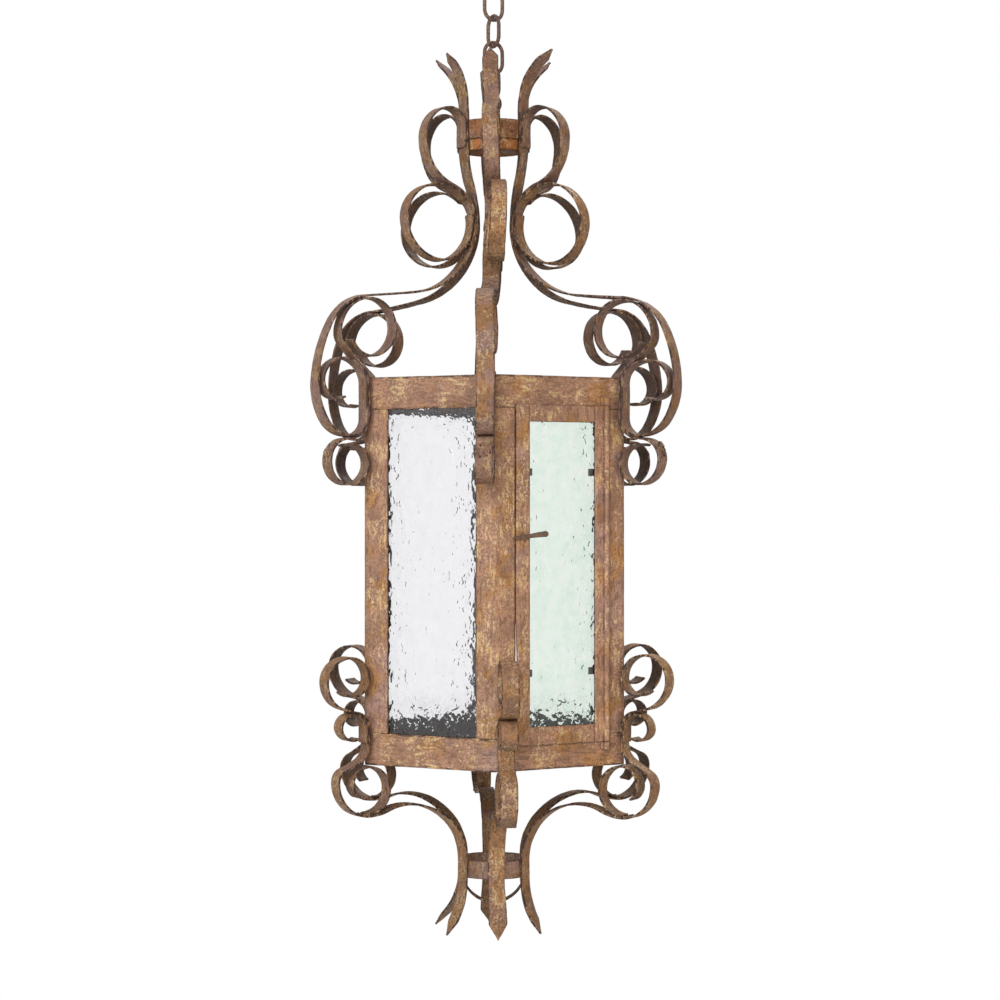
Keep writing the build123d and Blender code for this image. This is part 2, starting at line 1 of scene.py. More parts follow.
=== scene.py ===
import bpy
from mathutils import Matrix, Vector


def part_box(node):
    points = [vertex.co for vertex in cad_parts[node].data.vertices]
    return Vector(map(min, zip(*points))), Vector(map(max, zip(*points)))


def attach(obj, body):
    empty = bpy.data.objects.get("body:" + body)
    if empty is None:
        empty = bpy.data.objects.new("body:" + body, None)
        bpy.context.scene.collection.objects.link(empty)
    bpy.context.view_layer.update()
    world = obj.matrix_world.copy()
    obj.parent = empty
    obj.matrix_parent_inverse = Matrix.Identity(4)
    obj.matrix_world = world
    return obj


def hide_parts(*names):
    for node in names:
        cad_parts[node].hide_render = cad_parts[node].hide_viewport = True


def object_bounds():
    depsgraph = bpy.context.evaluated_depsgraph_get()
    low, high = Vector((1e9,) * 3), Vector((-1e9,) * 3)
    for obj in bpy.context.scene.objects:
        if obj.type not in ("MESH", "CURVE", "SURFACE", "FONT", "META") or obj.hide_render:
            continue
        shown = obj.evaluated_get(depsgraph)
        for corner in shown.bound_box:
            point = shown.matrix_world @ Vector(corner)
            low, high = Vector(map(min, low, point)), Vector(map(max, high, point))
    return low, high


bl_info = {
    "name": "Strap-iron lantern",
    "version": (1, 0, 0),
    "blender": (4, 5, 0),
    "location": "3D View > Sidebar > Lantern",
    "description": "Dresses a six-sided hanging lantern in rusted strap iron and rippled glass",
    "category": "Object",
}

from math import cos, pi, radians, sin, tau

import bmesh
import bpy
import numpy as np
from bpy.props import FloatProperty, FloatVectorProperty, PointerProperty
from bpy.types import Operator, Panel, PropertyGroup
from mathutils import Vector

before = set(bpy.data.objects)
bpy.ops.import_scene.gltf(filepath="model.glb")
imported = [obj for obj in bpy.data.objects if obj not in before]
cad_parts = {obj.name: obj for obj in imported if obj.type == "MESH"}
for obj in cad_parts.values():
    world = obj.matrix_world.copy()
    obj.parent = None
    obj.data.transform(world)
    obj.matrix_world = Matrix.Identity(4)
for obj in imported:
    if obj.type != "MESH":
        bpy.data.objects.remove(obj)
cad_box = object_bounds()

# Places that the frame gives, in metres, and directions in degrees
SIDES = 6
FRONT = -90.0                       # the corner that faces the viewer
DOOR = FRONT + 180 / SIDES          # the way the door faces
FLATTER = cos(pi / SIDES)           # a side's distance from the axis, as a share of a corner's
CORNER_R = -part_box("corner_post_1")[0].y
BODY_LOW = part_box("bottom_band")[0].z
BODY_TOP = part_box("top_band")[1].z
BAND_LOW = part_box("top_band")[0].z
BAND_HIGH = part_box("bottom_band")[1].z
BODY_MIDDLE = (BODY_LOW + BODY_TOP) / 2
ORIGIN = (0, 0, 0)
UP = (0, 0, 1)


class IronSettings(PropertyGroup):
    """Sizes and unevenness of the forged iron"""

    strap_width: FloatProperty(
        name="Strap width",
        description="Width of the bars and scrolls",
        default=0.019,
        unit="LENGTH",
    )
    strap_thick: FloatProperty(
        name="Strap thickness",
        description="Thickness of the bars and scrolls",
        default=0.0025,
        unit="LENGTH",
    )
    sheet_thick: FloatProperty(
        name="Sheet thickness",
        description="Thickness of the bands, posts and door",
        default=0.0024,
        unit="LENGTH",
    )
    worn: FloatProperty(
        name="Worn edge",
        description="Radius that the edges are worn to",
        default=0.0007,
        unit="LENGTH",
    )
    spacing: FloatProperty(
        name="Mesh spacing",
        description="Length of one face along an iron",
        default=0.0026,
        unit="LENGTH",
    )
    warp: FloatProperty(
        name="Warp",
        description="How far free scrolls stray from a true shape",
        default=0.0045,
        unit="LENGTH",
    )
    lean: FloatProperty(
        name="Lean",
        description="How far a corner's straps stand askew",
        default=radians(4.2),
        subtype="ANGLE",
    )
    dent: FloatProperty(
        name="Dents",
        description="Depth of the hammer marks",
        default=0.0011,
        unit="LENGTH",
    )
    upper_splay: FloatProperty(
        name="Upper splay",
        description="How far the upper spikes spread",
        default=0.014,
        unit="LENGTH",
    )
    lower_splay: FloatProperty(
        name="Lower splay",
        description="How far the lower spikes spread",
        default=0.021,
        unit="LENGTH",
    )
    seed: FloatProperty(
        name="Seed",
        description="Chooses another set of dents",
        default=3.0,
        subtype="UNSIGNED",
    )


class ChainSettings(PropertyGroup):
    """Sizes of the chain's wire"""

    wire: FloatProperty(
        name="Wire",
        description="Diameter of the wire of the links",
        default=0.0044,
        unit="LENGTH",
    )
    dent: FloatProperty(
        name="Dents",
        description="Depth of the wire's rust pits",
        default=0.0004,
        unit="LENGTH",
    )


class GlassSettings(PropertyGroup):
    """Ripples and colours of the glass"""

    ripple: FloatProperty(
        name="Ripple",
        description="Depth of the ripples",
        default=0.00035,
        unit="LENGTH",
    )
    grid: FloatProperty(
        name="Grid",
        description="Spacing of the points that ripple",
        default=0.0028,
        unit="LENGTH",
    )
    bump: FloatProperty(
        name="Fine ripple",
        description="Depth of the ripples too fine for the mesh",
        default=0.00025,
        unit="LENGTH",
    )
    clear: FloatVectorProperty(
        name="Clear glass",
        description="Tint of the fixed panes",
        subtype="COLOR",
        default=(0.937, 0.937, 0.949),
    )
    cloudy: FloatVectorProperty(
        name="Clear clouds",
        description="Deeper tint in the fixed panes",
        subtype="COLOR",
        default=(0.912, 0.912, 0.925),
    )
    green: FloatVectorProperty(
        name="Door glass",
        description="Tint of the door's pane",
        subtype="COLOR",
        default=(0.848, 0.922, 0.842),
    )
    deep_green: FloatVectorProperty(
        name="Door clouds",
        description="Deeper tint in the door's pane",
        subtype="COLOR",
        default=(0.755, 0.884, 0.772),
    )


class RustSettings(PropertyGroup):
    """Colours of the rust"""

    brown: FloatVectorProperty(
        name="Brown",
        description="Rust of the sheet iron",
        subtype="COLOR",
        default=(0.42, 0.235, 0.152),
    )
    plum: FloatVectorProperty(
        name="Plum",
        description="Older, purple rust",
        subtype="COLOR",
        default=(0.43, 0.262, 0.21),
    )
    orange: FloatVectorProperty(
        name="Orange",
        description="Fresh rust",
        subtype="COLOR",
        default=(0.44, 0.225, 0.088),
    )
    ochre: FloatVectorProperty(
        name="Ochre",
        description="Yellow flakes",
        subtype="COLOR",
        default=(0.64, 0.46, 0.225),
    )
    pale: FloatVectorProperty(
        name="Pale",
        description="Light flecks",
        subtype="COLOR",
        default=(0.7, 0.52, 0.38),
    )
    # Black also paints soot and painted shade on inner and sheltered sides
    black: FloatVectorProperty(
        name="Black",
        description="Pits, soot and worn edges",
        subtype="COLOR",
        default=(0.047, 0.029, 0.025),
    )


class StageSettings(PropertyGroup):
    """Where the camera stands, and the light"""

    distance: FloatProperty(
        name="Distance",
        description="Camera to the lantern's axis",
        default=2.875,
        unit="LENGTH",
    )
    rise: FloatProperty(
        name="Rise",
        description="Camera above the body's middle",
        default=0.0794,
        unit="LENGTH",
    )
    aside: FloatProperty(
        name="Aside",
        description="Lantern's axis left of the picture's middle",
        default=0.0075,
        unit="LENGTH",
    )
    turn: FloatProperty(
        name="Turn",
        description="How far the camera stands round to the left",
        default=radians(1.0),
        subtype="ANGLE",
    )
    lens: FloatProperty(
        name="Lens",
        description="Focal length in millimetres",
        default=90.0,
        unit="CAMERA",
    )
    drop: FloatProperty(
        name="Floor",
        description="Floor below the lantern",
        default=0.8,
        unit="LENGTH",
    )
    key: FloatProperty(
        name="Key light",
        description="Power of the lamp at the left",
        default=96.0,
        unit="POWER",
    )
    fill: FloatProperty(
        name="Fill light",
        description="Power of the warm lamp at the right",
        default=42.0,
        unit="POWER",
    )
    top: FloatProperty(
        name="Top light",
        description="Power of the lamp above",
        default=12.0,
        unit="POWER",
    )
    back: FloatProperty(
        name="Back light",
        description="Power of the lamp behind",
        default=70.0,
        unit="POWER",
    )
    glow: FloatProperty(
        name="Glow",
        description="Light from all round, where 1 is white",
        default=0.2,
        subtype="FACTOR",
    )


def settings(name):
    """One of the groups of settings."""
    return getattr(bpy.context.scene, "lantern_" + name)


# Reading shapes from the frame


def triangles(node):
    """Corner points of a node's triangles."""
    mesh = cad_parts[node].data
    mesh.calc_loop_triangles()
    points = np.empty(len(mesh.vertices) * 3)
    mesh.vertices.foreach_get("co", points)
    corners = np.empty(len(mesh.loop_triangles) * 3, dtype=int)
    mesh.loop_triangles.foreach_get("vertices", corners)
    return points.reshape(-1, 3)[corners].reshape(-1, 3, 3)


def turned(points, angle):
    """Points turned about the upright axis, by degrees."""
    c = cos(radians(angle))
    s = sin(radians(angle))
    return points @ np.array(((c, s, 0), (-s, c, 0), (0, 0, 1)))


def facing(angle):
    """Level directions out along an angle in degrees, and across it."""
    way = radians(angle)
    return (cos(way), sin(way), 0), (-sin(way), cos(way), 0)


def local_box(node, angle):
    """A node's limits out from the axis, across and up, on the side that faces an angle."""
    points = turned(triangles(node), -angle).reshape(-1, 3)
    return Vector(points.min(0)), Vector(points.max(0))


def middle_line(node, angle, width, whole=False):
    """The middle line of a flat strap in the upright plane at an angle, as (out, up) points.

    Whole: the strap goes through the axis. If not, only what is on the angle's side of the axis counts.
    """
    near = 1e-5                     # points this close are one
    corners = turned(triangles(node), -angle)
    side = np.all(abs(corners[:, :, 1] - width / 2) < near, axis=1)
    if not whole:
        side &= corners[:, :, 0].mean(axis=1) > 0
    flat = np.round(corners[side][:, :, (0, 2)] / near).astype(int)
    return halfway(np.array(outer_loop(flat)) * near)


def outer_loop(flat):
    """The points round a flat patch of triangles, in order."""
    uses = {}
    for triangle in flat:
        loop = [tuple(point) for point in triangle]
        for pair in zip(loop, loop[1:] + loop[:1]):
            key = frozenset(pair)
            uses[key] = uses.get(key, 0) + 1
    nexts = {}
    for key, count in uses.items():
        if count == 1 and len(key) == 2:
            one, other = key
            nexts.setdefault(one, []).append(other)
            nexts.setdefault(other, []).append(one)
    start = min(nexts, key=lambda point: (len(nexts[point]), point))
    outline = [start]
    before = None
    while True:
        step = [point for point in nexts[outline[-1]] if point != before][0]
        if step == start:
            return outline
        before = outline[-1]
        outline.append(step)


def halfway(outline):
    """The line midway between the two long sides of a thin closed outline."""
    square = 0.6                    # a turn with a larger sine is a corner of a cut end
    step = np.roll(outline, -1, axis=0) - outline
    length = np.linalg.norm(step, axis=1)
    turn = np.cross(step / length[:, None], np.roll(step / length[:, None], -1, axis=0))
    sharp = np.roll(abs(turn) > square, 1)
    ends = [i for i in range(len(outline)) if sharp[i] and sharp[(i + 1) % len(outline)]]
    first, second = ends[:2]
    side = outline[first + 1: second + 1]
    other = np.concatenate([outline[second + 1:], outline[: first + 1]])
    a = other[:-1]
    b = other[1:]
    middles = []
    for point in side:
        along = np.clip(((point - a) * (b - a)).sum(1) / ((b - a) ** 2).sum(1), 0, 1)
        feet = a + along[:, None] * (b - a)
        nearest = feet[np.argmin(((feet - point) ** 2).sum(1))]
        middles.append((point + nearest) / 2)
    return np.array(middles)


# Making meshes


def smooth(points, spacing, closed=False):
    """Evenly spaced points on a smooth line through the given ones."""
    through = np.asarray(points, float)
    if closed:
        through = np.vstack([through, through[:1]])
    step = np.diff(through, axis=0)
    length = np.linalg.norm(step, axis=1)
    pull = step * length[:, None]
    before = np.vstack([pull[-1:] if closed else pull[:1], pull])
    after = np.vstack([pull, pull[:1] if closed else pull[-1:]])
    heading = before + after
    heading /= np.linalg.norm(heading, axis=1)[:, None]
    parts = 12                      # fine steps on each stretch
    t = np.linspace(0, 1, parts, endpoint=False)[:, None]
    fine = []
    for i, size in enumerate(length):
        fine.append(
            (2 * t**3 - 3 * t**2 + 1) * through[i]
            + (t**3 - 2 * t**2 + t) * heading[i] * size
            + (3 * t**2 - 2 * t**3) * through[i + 1]
            + (t**3 - t**2) * heading[i + 1] * size
        )
    fine = np.vstack(fine + [through[-1:]])
    run = np.concatenate([[0], np.cumsum(np.linalg.norm(np.diff(fine, axis=0), axis=1))])
    at = np.linspace(0, run[-1], max(3, round(run[-1] / spacing) + 1))
    if closed:
        at = at[:-1]
    return np.column_stack([np.interp(at, run, fine[:, k]) for k in range(2)])


def rounded(corners, cut, closed=False):
    """A line through corners, each rounded off over a short length."""
    corners = np.asarray(corners, float)
    line = []
    for i, corner in enumerate(corners):
        if not closed and i in (0, len(corners) - 1):
            line.append(corner)
            continue
        back = corners[i - 1] - corner
        on = corners[(i + 1) % len(corners)] - corner
        enter = corner + back / np.linalg.norm(back) * cut
        leave = corner + on / np.linalg.norm(on) * cut
        line += [enter, (enter + 2 * corner + leave) / 4, leave]
    return np.array(line)


def flat_bar(width, thick, worn, spacing):
    """Cross-section of a flat bar with worn edges, as (across, through) points."""
    points = []
    places = ((1, 1, 0), (-1, 1, 90), (-1, -1, 180), (1, -1, 270))
    for i, (a, b, start) in enumerate(places):
        for turn in (0, 45, 90):
            angle = radians(start + turn)
            points.append((
                a * (width / 2 - worn) + worn * cos(angle),
                b * (thick / 2 - worn) + worn * sin(angle),
            ))
        if i % 2 == 0:
            end = -points[-1][0]
            steps = max(2, round((width - 2 * worn) / spacing))
            for share in np.linspace(0, 1, steps + 1)[1:-1]:
                points.append((end * (2 * share - 1), b * thick / 2))
    return np.array(points)


def round_bar(diameter, count=14):
    """Cross-section of a wire."""
    angles = np.arange(count) * tau / count
    return np.column_stack([np.cos(angles), np.sin(angles)]) * diameter / 2


def tube(rings, size, closed=False):
    """Faces of a tube of rings with some points each, closed to a loop or capped at both ends."""
    faces = []
    for i in range(rings if closed else rings - 1):
        j = (i + 1) % rings
        for k in range(size):
            m = (k + 1) % size
            faces.append((i * size + k, i * size + m, j * size + m, j * size + k))
    if not closed:
        faces.append(list(range(size))[::-1])
        faces.append([(rings - 1) * size + k for k in range(size)])
    return faces


class Shape:
    """Points, faces and point values of a mesh that is being put together."""

    def __init__(self):
        self.points = []
        self.faces = []
        self.edge = []
        self.loose = []
        self.soot_and_shade = []
        self.tip = []
        self.count = 0

    def add(self, points, faces, edge=0.0, loose=0.0, soot_and_shade=0.0, tip=0.0):
        """Takes in points and faces. The values are for all points or for each of them."""
        self.points.append(points)
        self.faces += [[self.count + i for i in face] for face in faces]
        self.edge.append(np.broadcast_to(edge, len(points)))
        self.loose.append(np.broadcast_to(loose, len(points)))
        self.soot_and_shade.append(np.broadcast_to(soot_and_shade, len(points)))
        self.tip.append(np.broadcast_to(tip, len(points)))
        self.count += len(points)

    def sweep(self, line, profile, axes, closed=False, edge_band=0.002, narrow=1.0, soot_and_shade=0.0, tip=0.0,
              loose=0.0):
        """A profile along a flat line. Axes are an origin, then along, across and up vectors.

        Edge band: how wide the worn edges are. The rest is for the whole line or for each of its points.
        Narrow: the share of the profile's width. Soot and shade: 1 where the profile's left side is
        painted dark with soot and shade, -1 where its right side is. Tip: how far along a spike, from 0
        to 1. Loose: how far it may bend.
        """
        if closed:
            ahead = np.roll(line, -1, axis=0) - np.roll(line, 1, axis=0)
        else:
            ahead = np.gradient(line, axis=0)
        ahead /= np.linalg.norm(ahead, axis=1)[:, None]
        left = np.column_stack([-ahead[:, 1], ahead[:, 0]])
        rings = line[:, None, :] + left[:, None, :] * profile[None, :, 1, None]
        given = (narrow, soot_and_shade, tip, loose)
        narrow, soot_and_shade, tip, loose = (np.broadcast_to(value, len(line)) for value in given)
        across = profile[None, :, 0] * narrow[:, None]
        origin, along, aside, up = (np.array(axis, float) for axis in axes)
        points = (
            origin
            + rings[:, :, 0, None] * along
            + across[:, :, None] * aside
            + rings[:, :, 1, None] * up
        ).reshape(-1, 3)
        size = len(profile)
        reach = abs(profile[:, 0]).max()
        edge = np.clip((abs(profile[:, 0]) - reach + edge_band) / edge_band, 0, 1)
        soot_and_shade_side = np.clip(soot_and_shade[:, None] * profile[:, 1] / profile[:, 1].max(), 0, 1)
        self.add(
            points,
            tube(len(line), size, closed),
            edge=np.tile(edge, len(line)),
            loose=np.repeat(loose, size),
            soot_and_shade=soot_and_shade_side.ravel(),
            tip=np.repeat(tip, size),
        )
        return self

    def lathe(self, section, steps):
        """An (out, up) section turned about the upright axis, closed at both ends."""
        angles = np.arange(steps) * tau / steps
        section = np.array(section)
        points = np.stack([
            section[:, 0, None] * np.cos(angles),
            section[:, 0, None] * np.sin(angles),
            np.repeat(section[:, 1, None], steps, axis=1),
        ], axis=-1).reshape(-1, 3)
        self.add(points, tube(len(section), steps))
        return self

    def lump(self, middle, radius, chance, loose):
        """A small uneven ball of weld that bends with its strap."""
        rings = 4
        around = 7
        turns = np.arange(around) * tau / around
        points = []
        for ring in range(1, rings):
            up = pi * ring / rings
            points += [(sin(up) * cos(turn), sin(up) * sin(turn), cos(up)) for turn in turns]
        points = np.array(points + [(0, 0, 1), (0, 0, -1)])
        points *= chance.uniform(0.75, 1.15, (len(points), 1)) * radius
        top = len(points) - 2
        foot = len(points) - 1
        last = (rings - 2) * around
        faces = []
        for k in range(around):
            m = (k + 1) % around
            faces.append((top, k, m))
            for ring in range(0, last, around):
                under = ring + around
                faces.append((ring + k, under + k, under + m, ring + m))
            faces.append((foot, last + m, last + k))
        self.add(points + np.array(middle), faces, edge=chance.uniform(0.6, 1), loose=loose)

    def mesh(self, name):
        """A mesh with the points' values as attributes."""
        mesh = bpy.data.meshes.new(name)
        mesh.from_pydata(np.vstack(self.points).tolist(), [], self.faces)
        form = bmesh.new()
        form.from_mesh(mesh)
        bmesh.ops.recalc_face_normals(form, faces=form.faces)
        form.to_mesh(mesh)
        form.free()
        for key in ("edge", "loose", "soot_and_shade", "tip"):
            value = mesh.attributes.new(key, "FLOAT", "POINT")
            value.data.foreach_set("value", np.concatenate(getattr(self, key)).astype(np.float32))
        return mesh


def held_zones():
    """How far out, from how low and how high the body, the collar and the lower ring hold the straps."""
    zones = [(CORNER_R, BODY_LOW, BODY_TOP)]
    for node in ("collar_band", "lower_ring"):
        low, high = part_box(node)
        zones.append((high.x, low.z, high.z))
    return zones


def looseness(line):
    """How free a strap is at each point of its line: 0 where it is held, 2 at a long free end."""
    seated = 0.004                  # held within this distance of the zone
    free = 0.035                    # free from this distance on
    long = 0.08                     # and a long free end from this one
    gaps = []
    for reach, low, high in held_zones():
        out = np.maximum(line[:, 0] - reach - seated, 0)
        up = np.maximum(np.maximum(low - line[:, 1], line[:, 1] - high), 0)
        gaps.append(np.hypot(out, up))
    gap = np.min(gaps, axis=0)
    share = np.clip(gap / free, 0, 1)
    return share * share * (3 - 2 * share) * (1 + np.clip(gap / long, 0, 1))


# Node trees


def socket(tree, name, kind, default=None, way="INPUT"):
    """Adds a named input or output to a node tree."""
    made = tree.interface.new_socket(name, in_out=way, socket_type="NodeSocket" + kind)
    if default is not None:
        made.default_value = default
    return made


class Nodes:
    """Adds linked nodes to a tree."""

    def __init__(self, tree):
        self.tree = tree

    def add(self, kind, inputs=None, **options):
        """A node with its options and inputs set."""
        node = self.tree.nodes.new(kind)
        for key, value in options.items():
            setattr(node, key, value)
        for key, value in (inputs or {}).items():
            self.put(self.input(node, key), value)
        return node

    def input(self, node, key):
        """A node's input by its number, identifier or name."""
        if isinstance(key, int):
            return node.inputs[key]
        named = {target.name: target for target in node.inputs}
        return {**named, **{target.identifier: target for target in node.inputs}}[key]

    def output(self, node, identifier):
        """A node's output by its identifier."""
        return next(source for source in node.outputs if source.identifier == identifier)

    def put(self, target, value):
        """Links a value to an input, or sets it there."""
        if isinstance(value, bpy.types.NodeSocket):
            self.tree.links.new(value, target)
        else:
            target.default_value = value

    def math(self, operation, *values):
        """The result of an operation on numbers."""
        return self.add("ShaderNodeMath", dict(enumerate(values)), operation=operation).outputs[0]

    def vector(self, operation, *values):
        """The result of an operation on vectors."""
        return self.add("ShaderNodeVectorMath", dict(enumerate(values)), operation=operation).outputs[0]

    def scaled(self, vector, share):
        """A vector times a number."""
        return self.add("ShaderNodeVectorMath", {0: vector, "Scale": share}, operation="SCALE").outputs[0]

    def noise(self, vector, scale, detail=2.0, roughness=0.5, w=None, out="Fac"):
        """Noise over places, of another kind for each w."""
        node = self.add(
            "ShaderNodeTexNoise",
            {"Vector": vector, "Scale": scale, "Detail": detail, "Roughness": roughness},
            noise_dimensions="3D" if w is None else "4D",
        )
        if w is not None:
            self.put(node.inputs["W"], w)
        return node.outputs[out]

    def named(self, name):
        """A point value of the geometry."""
        return self.add("GeometryNodeInputNamedAttribute", {"Name": name}, data_type="FLOAT").outputs[0]

    def chance(self, number, seed):
        """A random value from -1 to 1 for each copy."""
        node = self.add(
            "FunctionNodeRandomValue",
            {"Min_001": -1.0, "Max_001": 1.0, "ID": number, "Seed": seed},
            data_type="FLOAT",
        )
        return self.output(node, "Value_001")

    def ramp(self, value, low, high, start=0.0, end=1.0):
        """A value that goes smoothly from start to end between two limits."""
        node = self.add(
            "ShaderNodeMapRange",
            {"Value": value, "From Min": low, "From Max": high, "To Min": start, "To Max": end},
            interpolation_type="SMOOTHSTEP",
        )
        return node.outputs["Result"]

    def mix(self, share, one, other):
        """Two colours mixed."""
        node = self.add(
            "ShaderNodeMix",
            {"Factor_Float": share, "A_Color": one, "B_Color": other},
            data_type="RGBA",
        )
        return self.output(node, "Result_Color")


def geometry_tree(name, inputs):
    """A tree that turns geometry into geometry, a way to add its nodes, and what its inputs give."""
    tree = bpy.data.node_groups.new(name, "GeometryNodeTree")
    socket(tree, "Geometry", "Geometry")
    for label, kind, default in inputs:
        socket(tree, label, kind, default)
    socket(tree, "Geometry", "Geometry", way="OUTPUT")
    n = Nodes(tree)
    return tree, n, n.add("NodeGroupInput").outputs


def copies_round(n, count, geometry, index, turn):
    """Copies of a geometry on successive sides, each turned further by an angle."""
    line = n.add("GeometryNodeMeshLine", {"Count": count, "Offset": (0, 0, 0)})
    angles = n.add("ShaderNodeCombineXYZ", {"Z": n.math("MULTIPLY_ADD", index, tau / SIDES, turn)})
    euler = n.add("FunctionNodeEulerToRotation", {"Euler": angles.outputs[0]})
    copies = n.add(
        "GeometryNodeInstanceOnPoints",
        {"Points": line.outputs[0], "Instance": geometry, "Rotation": euler.outputs[0]},
    )
    return copies.outputs[0]


def finish_tree(n, geometry, material):
    """Smooth shading, the material and the tree's output."""
    soft = n.add("GeometryNodeSetShadeSmooth", {"Geometry": geometry})
    dressed = n.add("GeometryNodeSetMaterial", {"Geometry": soft.outputs[0], "Material": material})
    n.add("NodeGroupOutput", {"Geometry": dressed.outputs[0]})


def forging_tree():
    """Repeats a piece round the axis, bends its free parts and dents its surface."""
    tree, n, given = geometry_tree("Forging", (
        ("Copies", "Int", 1),
        ("Lean", "Float", 0.0),
        ("Lean seed", "Int", 0),
        ("Splay", "Float", 0.0),
        ("Splay seed", "Int", 0),
        ("Warp", "Float", 0.0),
        ("Warp scale", "Float", 6.0),
        ("Dent", "Float", 0.0),
        ("Dent scale", "Float", 90.0),
        ("Seed", "Float", 0.0),
        ("Material", "Material", None),
    ))
    # Copies round the axis, each with its own lean and splay
    index = n.add("GeometryNodeInputIndex").outputs[0]
    lean = n.math("MULTIPLY", n.chance(index, given["Lean seed"]), given["Lean"])
    splayed = n.add(
        "GeometryNodeStoreNamedAttribute",
        {
            "Geometry": copies_round(n, given["Copies"], given["Geometry"], index, lean),
            "Name": "splay",
            "Value": n.chance(index, given["Splay seed"]),
        },
        data_type="FLOAT",
        domain="INSTANCE",
    )
    real = n.add("GeometryNodeRealizeInstances", {"Geometry": splayed.outputs[0]})
    # Free parts bend, and spikes spread
    place = n.add("GeometryNodeInputPosition").outputs[0]
    bend = n.noise(place, given["Warp scale"], 1.0, w=given["Seed"], out="Color")
    reach = n.math("MULTIPLY", n.math("MULTIPLY", given["Warp"], 2.0), n.named("loose"))
    offset = n.scaled(n.vector("SUBTRACT", bend, (0.5, 0.5, 0.5)), reach)
    outwards = n.vector("NORMALIZE", n.vector("MULTIPLY", place, (1.0, 1.0, 0.0)))
    tip = n.named("tip")
    splay = n.math("MULTIPLY", n.named("splay"), given["Splay"])
    spread = n.math("MULTIPLY", n.math("MULTIPLY", tip, tip), splay)
    offset = n.vector("ADD", offset, n.scaled(outwards, spread))
    bent = n.add("GeometryNodeSetPosition", {"Geometry": real.outputs[0], "Offset": offset})
    # Hammer marks
    level = 0.56                    # marks above this stand out, the others are dents
    normal = n.add("GeometryNodeInputNormal").outputs[0]
    mark = n.noise(place, given["Dent scale"], 3.0, 0.55, w=given["Seed"])
    depth = n.math("MULTIPLY", n.math("SUBTRACT", mark, level), given["Dent"])
    dented = n.add(
        "GeometryNodeSetPosition", {"Geometry": bent.outputs[0], "Offset": n.scaled(normal, depth)}
    )
    finish_tree(n, dented.outputs[0], given["Material"])
    return tree


def pane_tree():
    """Rippled panes of glass, one on each of some faces."""
    tree, n, given = geometry_tree("Rippled panes", (
        ("Size", "Vector", None),
        ("Middle", "Vector", None),
        ("Across", "Int", 40),
        ("Up", "Int", 120),
        ("First", "Float", 0.0),
        ("Copies", "Int", 1),
        ("Ripple", "Float", 0.001),
        ("Fine", "Float", 150.0),
        ("Stretch", "Float", 0.4),
        ("Material", "Material", None),
    ))
    # A slab, with places across and up it that go from 0 to 1
    slab = n.add("GeometryNodeMeshCube", {
        "Size": given["Size"],
        "Vertices X": 2,
        "Vertices Y": given["Across"],
        "Vertices Z": given["Up"],
    })
    place = n.add("GeometryNodeInputPosition").outputs[0]
    part = n.add("ShaderNodeSeparateXYZ", {"Vector": n.vector("DIVIDE", place, given["Size"])}).outputs
    on_pane = n.add("ShaderNodeCombineXYZ", {
        "X": n.math("ADD", part["Y"], 0.5),
        "Y": n.math("ADD", part["Z"], 0.5),
    })
    mapped = n.add(
        "GeometryNodeStoreNamedAttribute",
        {"Geometry": slab.outputs["Mesh"], "Name": "pane", "Value": on_pane.outputs[0]},
        data_type="FLOAT2",
        domain="CORNER",
    )
    set_back = n.add(
        "GeometryNodeTransform", {"Geometry": mapped.outputs[0], "Translation": given["Middle"]}
    )
    # A copy on each face
    index = n.add("GeometryNodeInputIndex").outputs[0]
    copies = copies_round(n, given["Copies"], set_back.outputs[0], index, given["First"])
    real = n.add("GeometryNodeRealizeInstances", {"Geometry": copies})
    # Ripples on short waves and on long ones
    squeeze = n.add("ShaderNodeCombineXYZ", {"X": 1.0, "Y": 1.0, "Z": given["Stretch"]})
    drawn = n.vector("MULTIPLY", place, squeeze.outputs[0])
    wave = n.noise(drawn, given["Fine"], 1.5, 0.45)
    roll = n.noise(drawn, n.math("MULTIPLY", given["Fine"], 0.3), 1.0, 0.5)
    both = n.math("ADD", n.math("SUBTRACT", wave, 0.5), n.math("SUBTRACT", roll, 0.5))
    normal = n.add("GeometryNodeInputNormal").outputs[0]
    offset = n.scaled(normal, n.math("MULTIPLY", both, given["Ripple"]))
    rippled = n.add("GeometryNodeSetPosition", {"Geometry": real.outputs[0], "Offset": offset})
    finish_tree(n, rippled.outputs[0], given["Material"])
    return tree


def tree_of(name, make):
    """The node tree of a name, made when it is first asked for."""
    return bpy.data.node_groups.get(name) or make()


def new_piece(name, data):
    """An object in the scene."""
    piece = bpy.data.objects.new(name, data)
    bpy.context.scene.collection.objects.link(piece)
    return piece


def plain_mesh(piece):
    """Turns what an object's modifiers make into its own mesh."""
    bpy.context.view_layer.update()
    graph = bpy.context.evaluated_depsgraph_get()
    piece.data = bpy.data.meshes.new_from_object(piece.evaluated_get(graph))
    piece.modifiers.clear()


def grown(name, mesh, tree, values):
    """A plain-mesh object made by running a mesh through a node tree."""
    piece = new_piece(name, mesh)
    modifier = piece.modifiers.new(tree.name, "NODES")
    modifier.node_group = tree
    for item in tree.interface.items_tree:
        if item.item_type == "SOCKET" and item.in_out == "INPUT" and item.name in values:
            modifier[item.identifier] = values[item.name]
    plain_mesh(piece)
    return piece


def stand_for(piece, body, nodes):
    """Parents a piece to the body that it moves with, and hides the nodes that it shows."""
    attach(piece, body)
    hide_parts(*nodes)


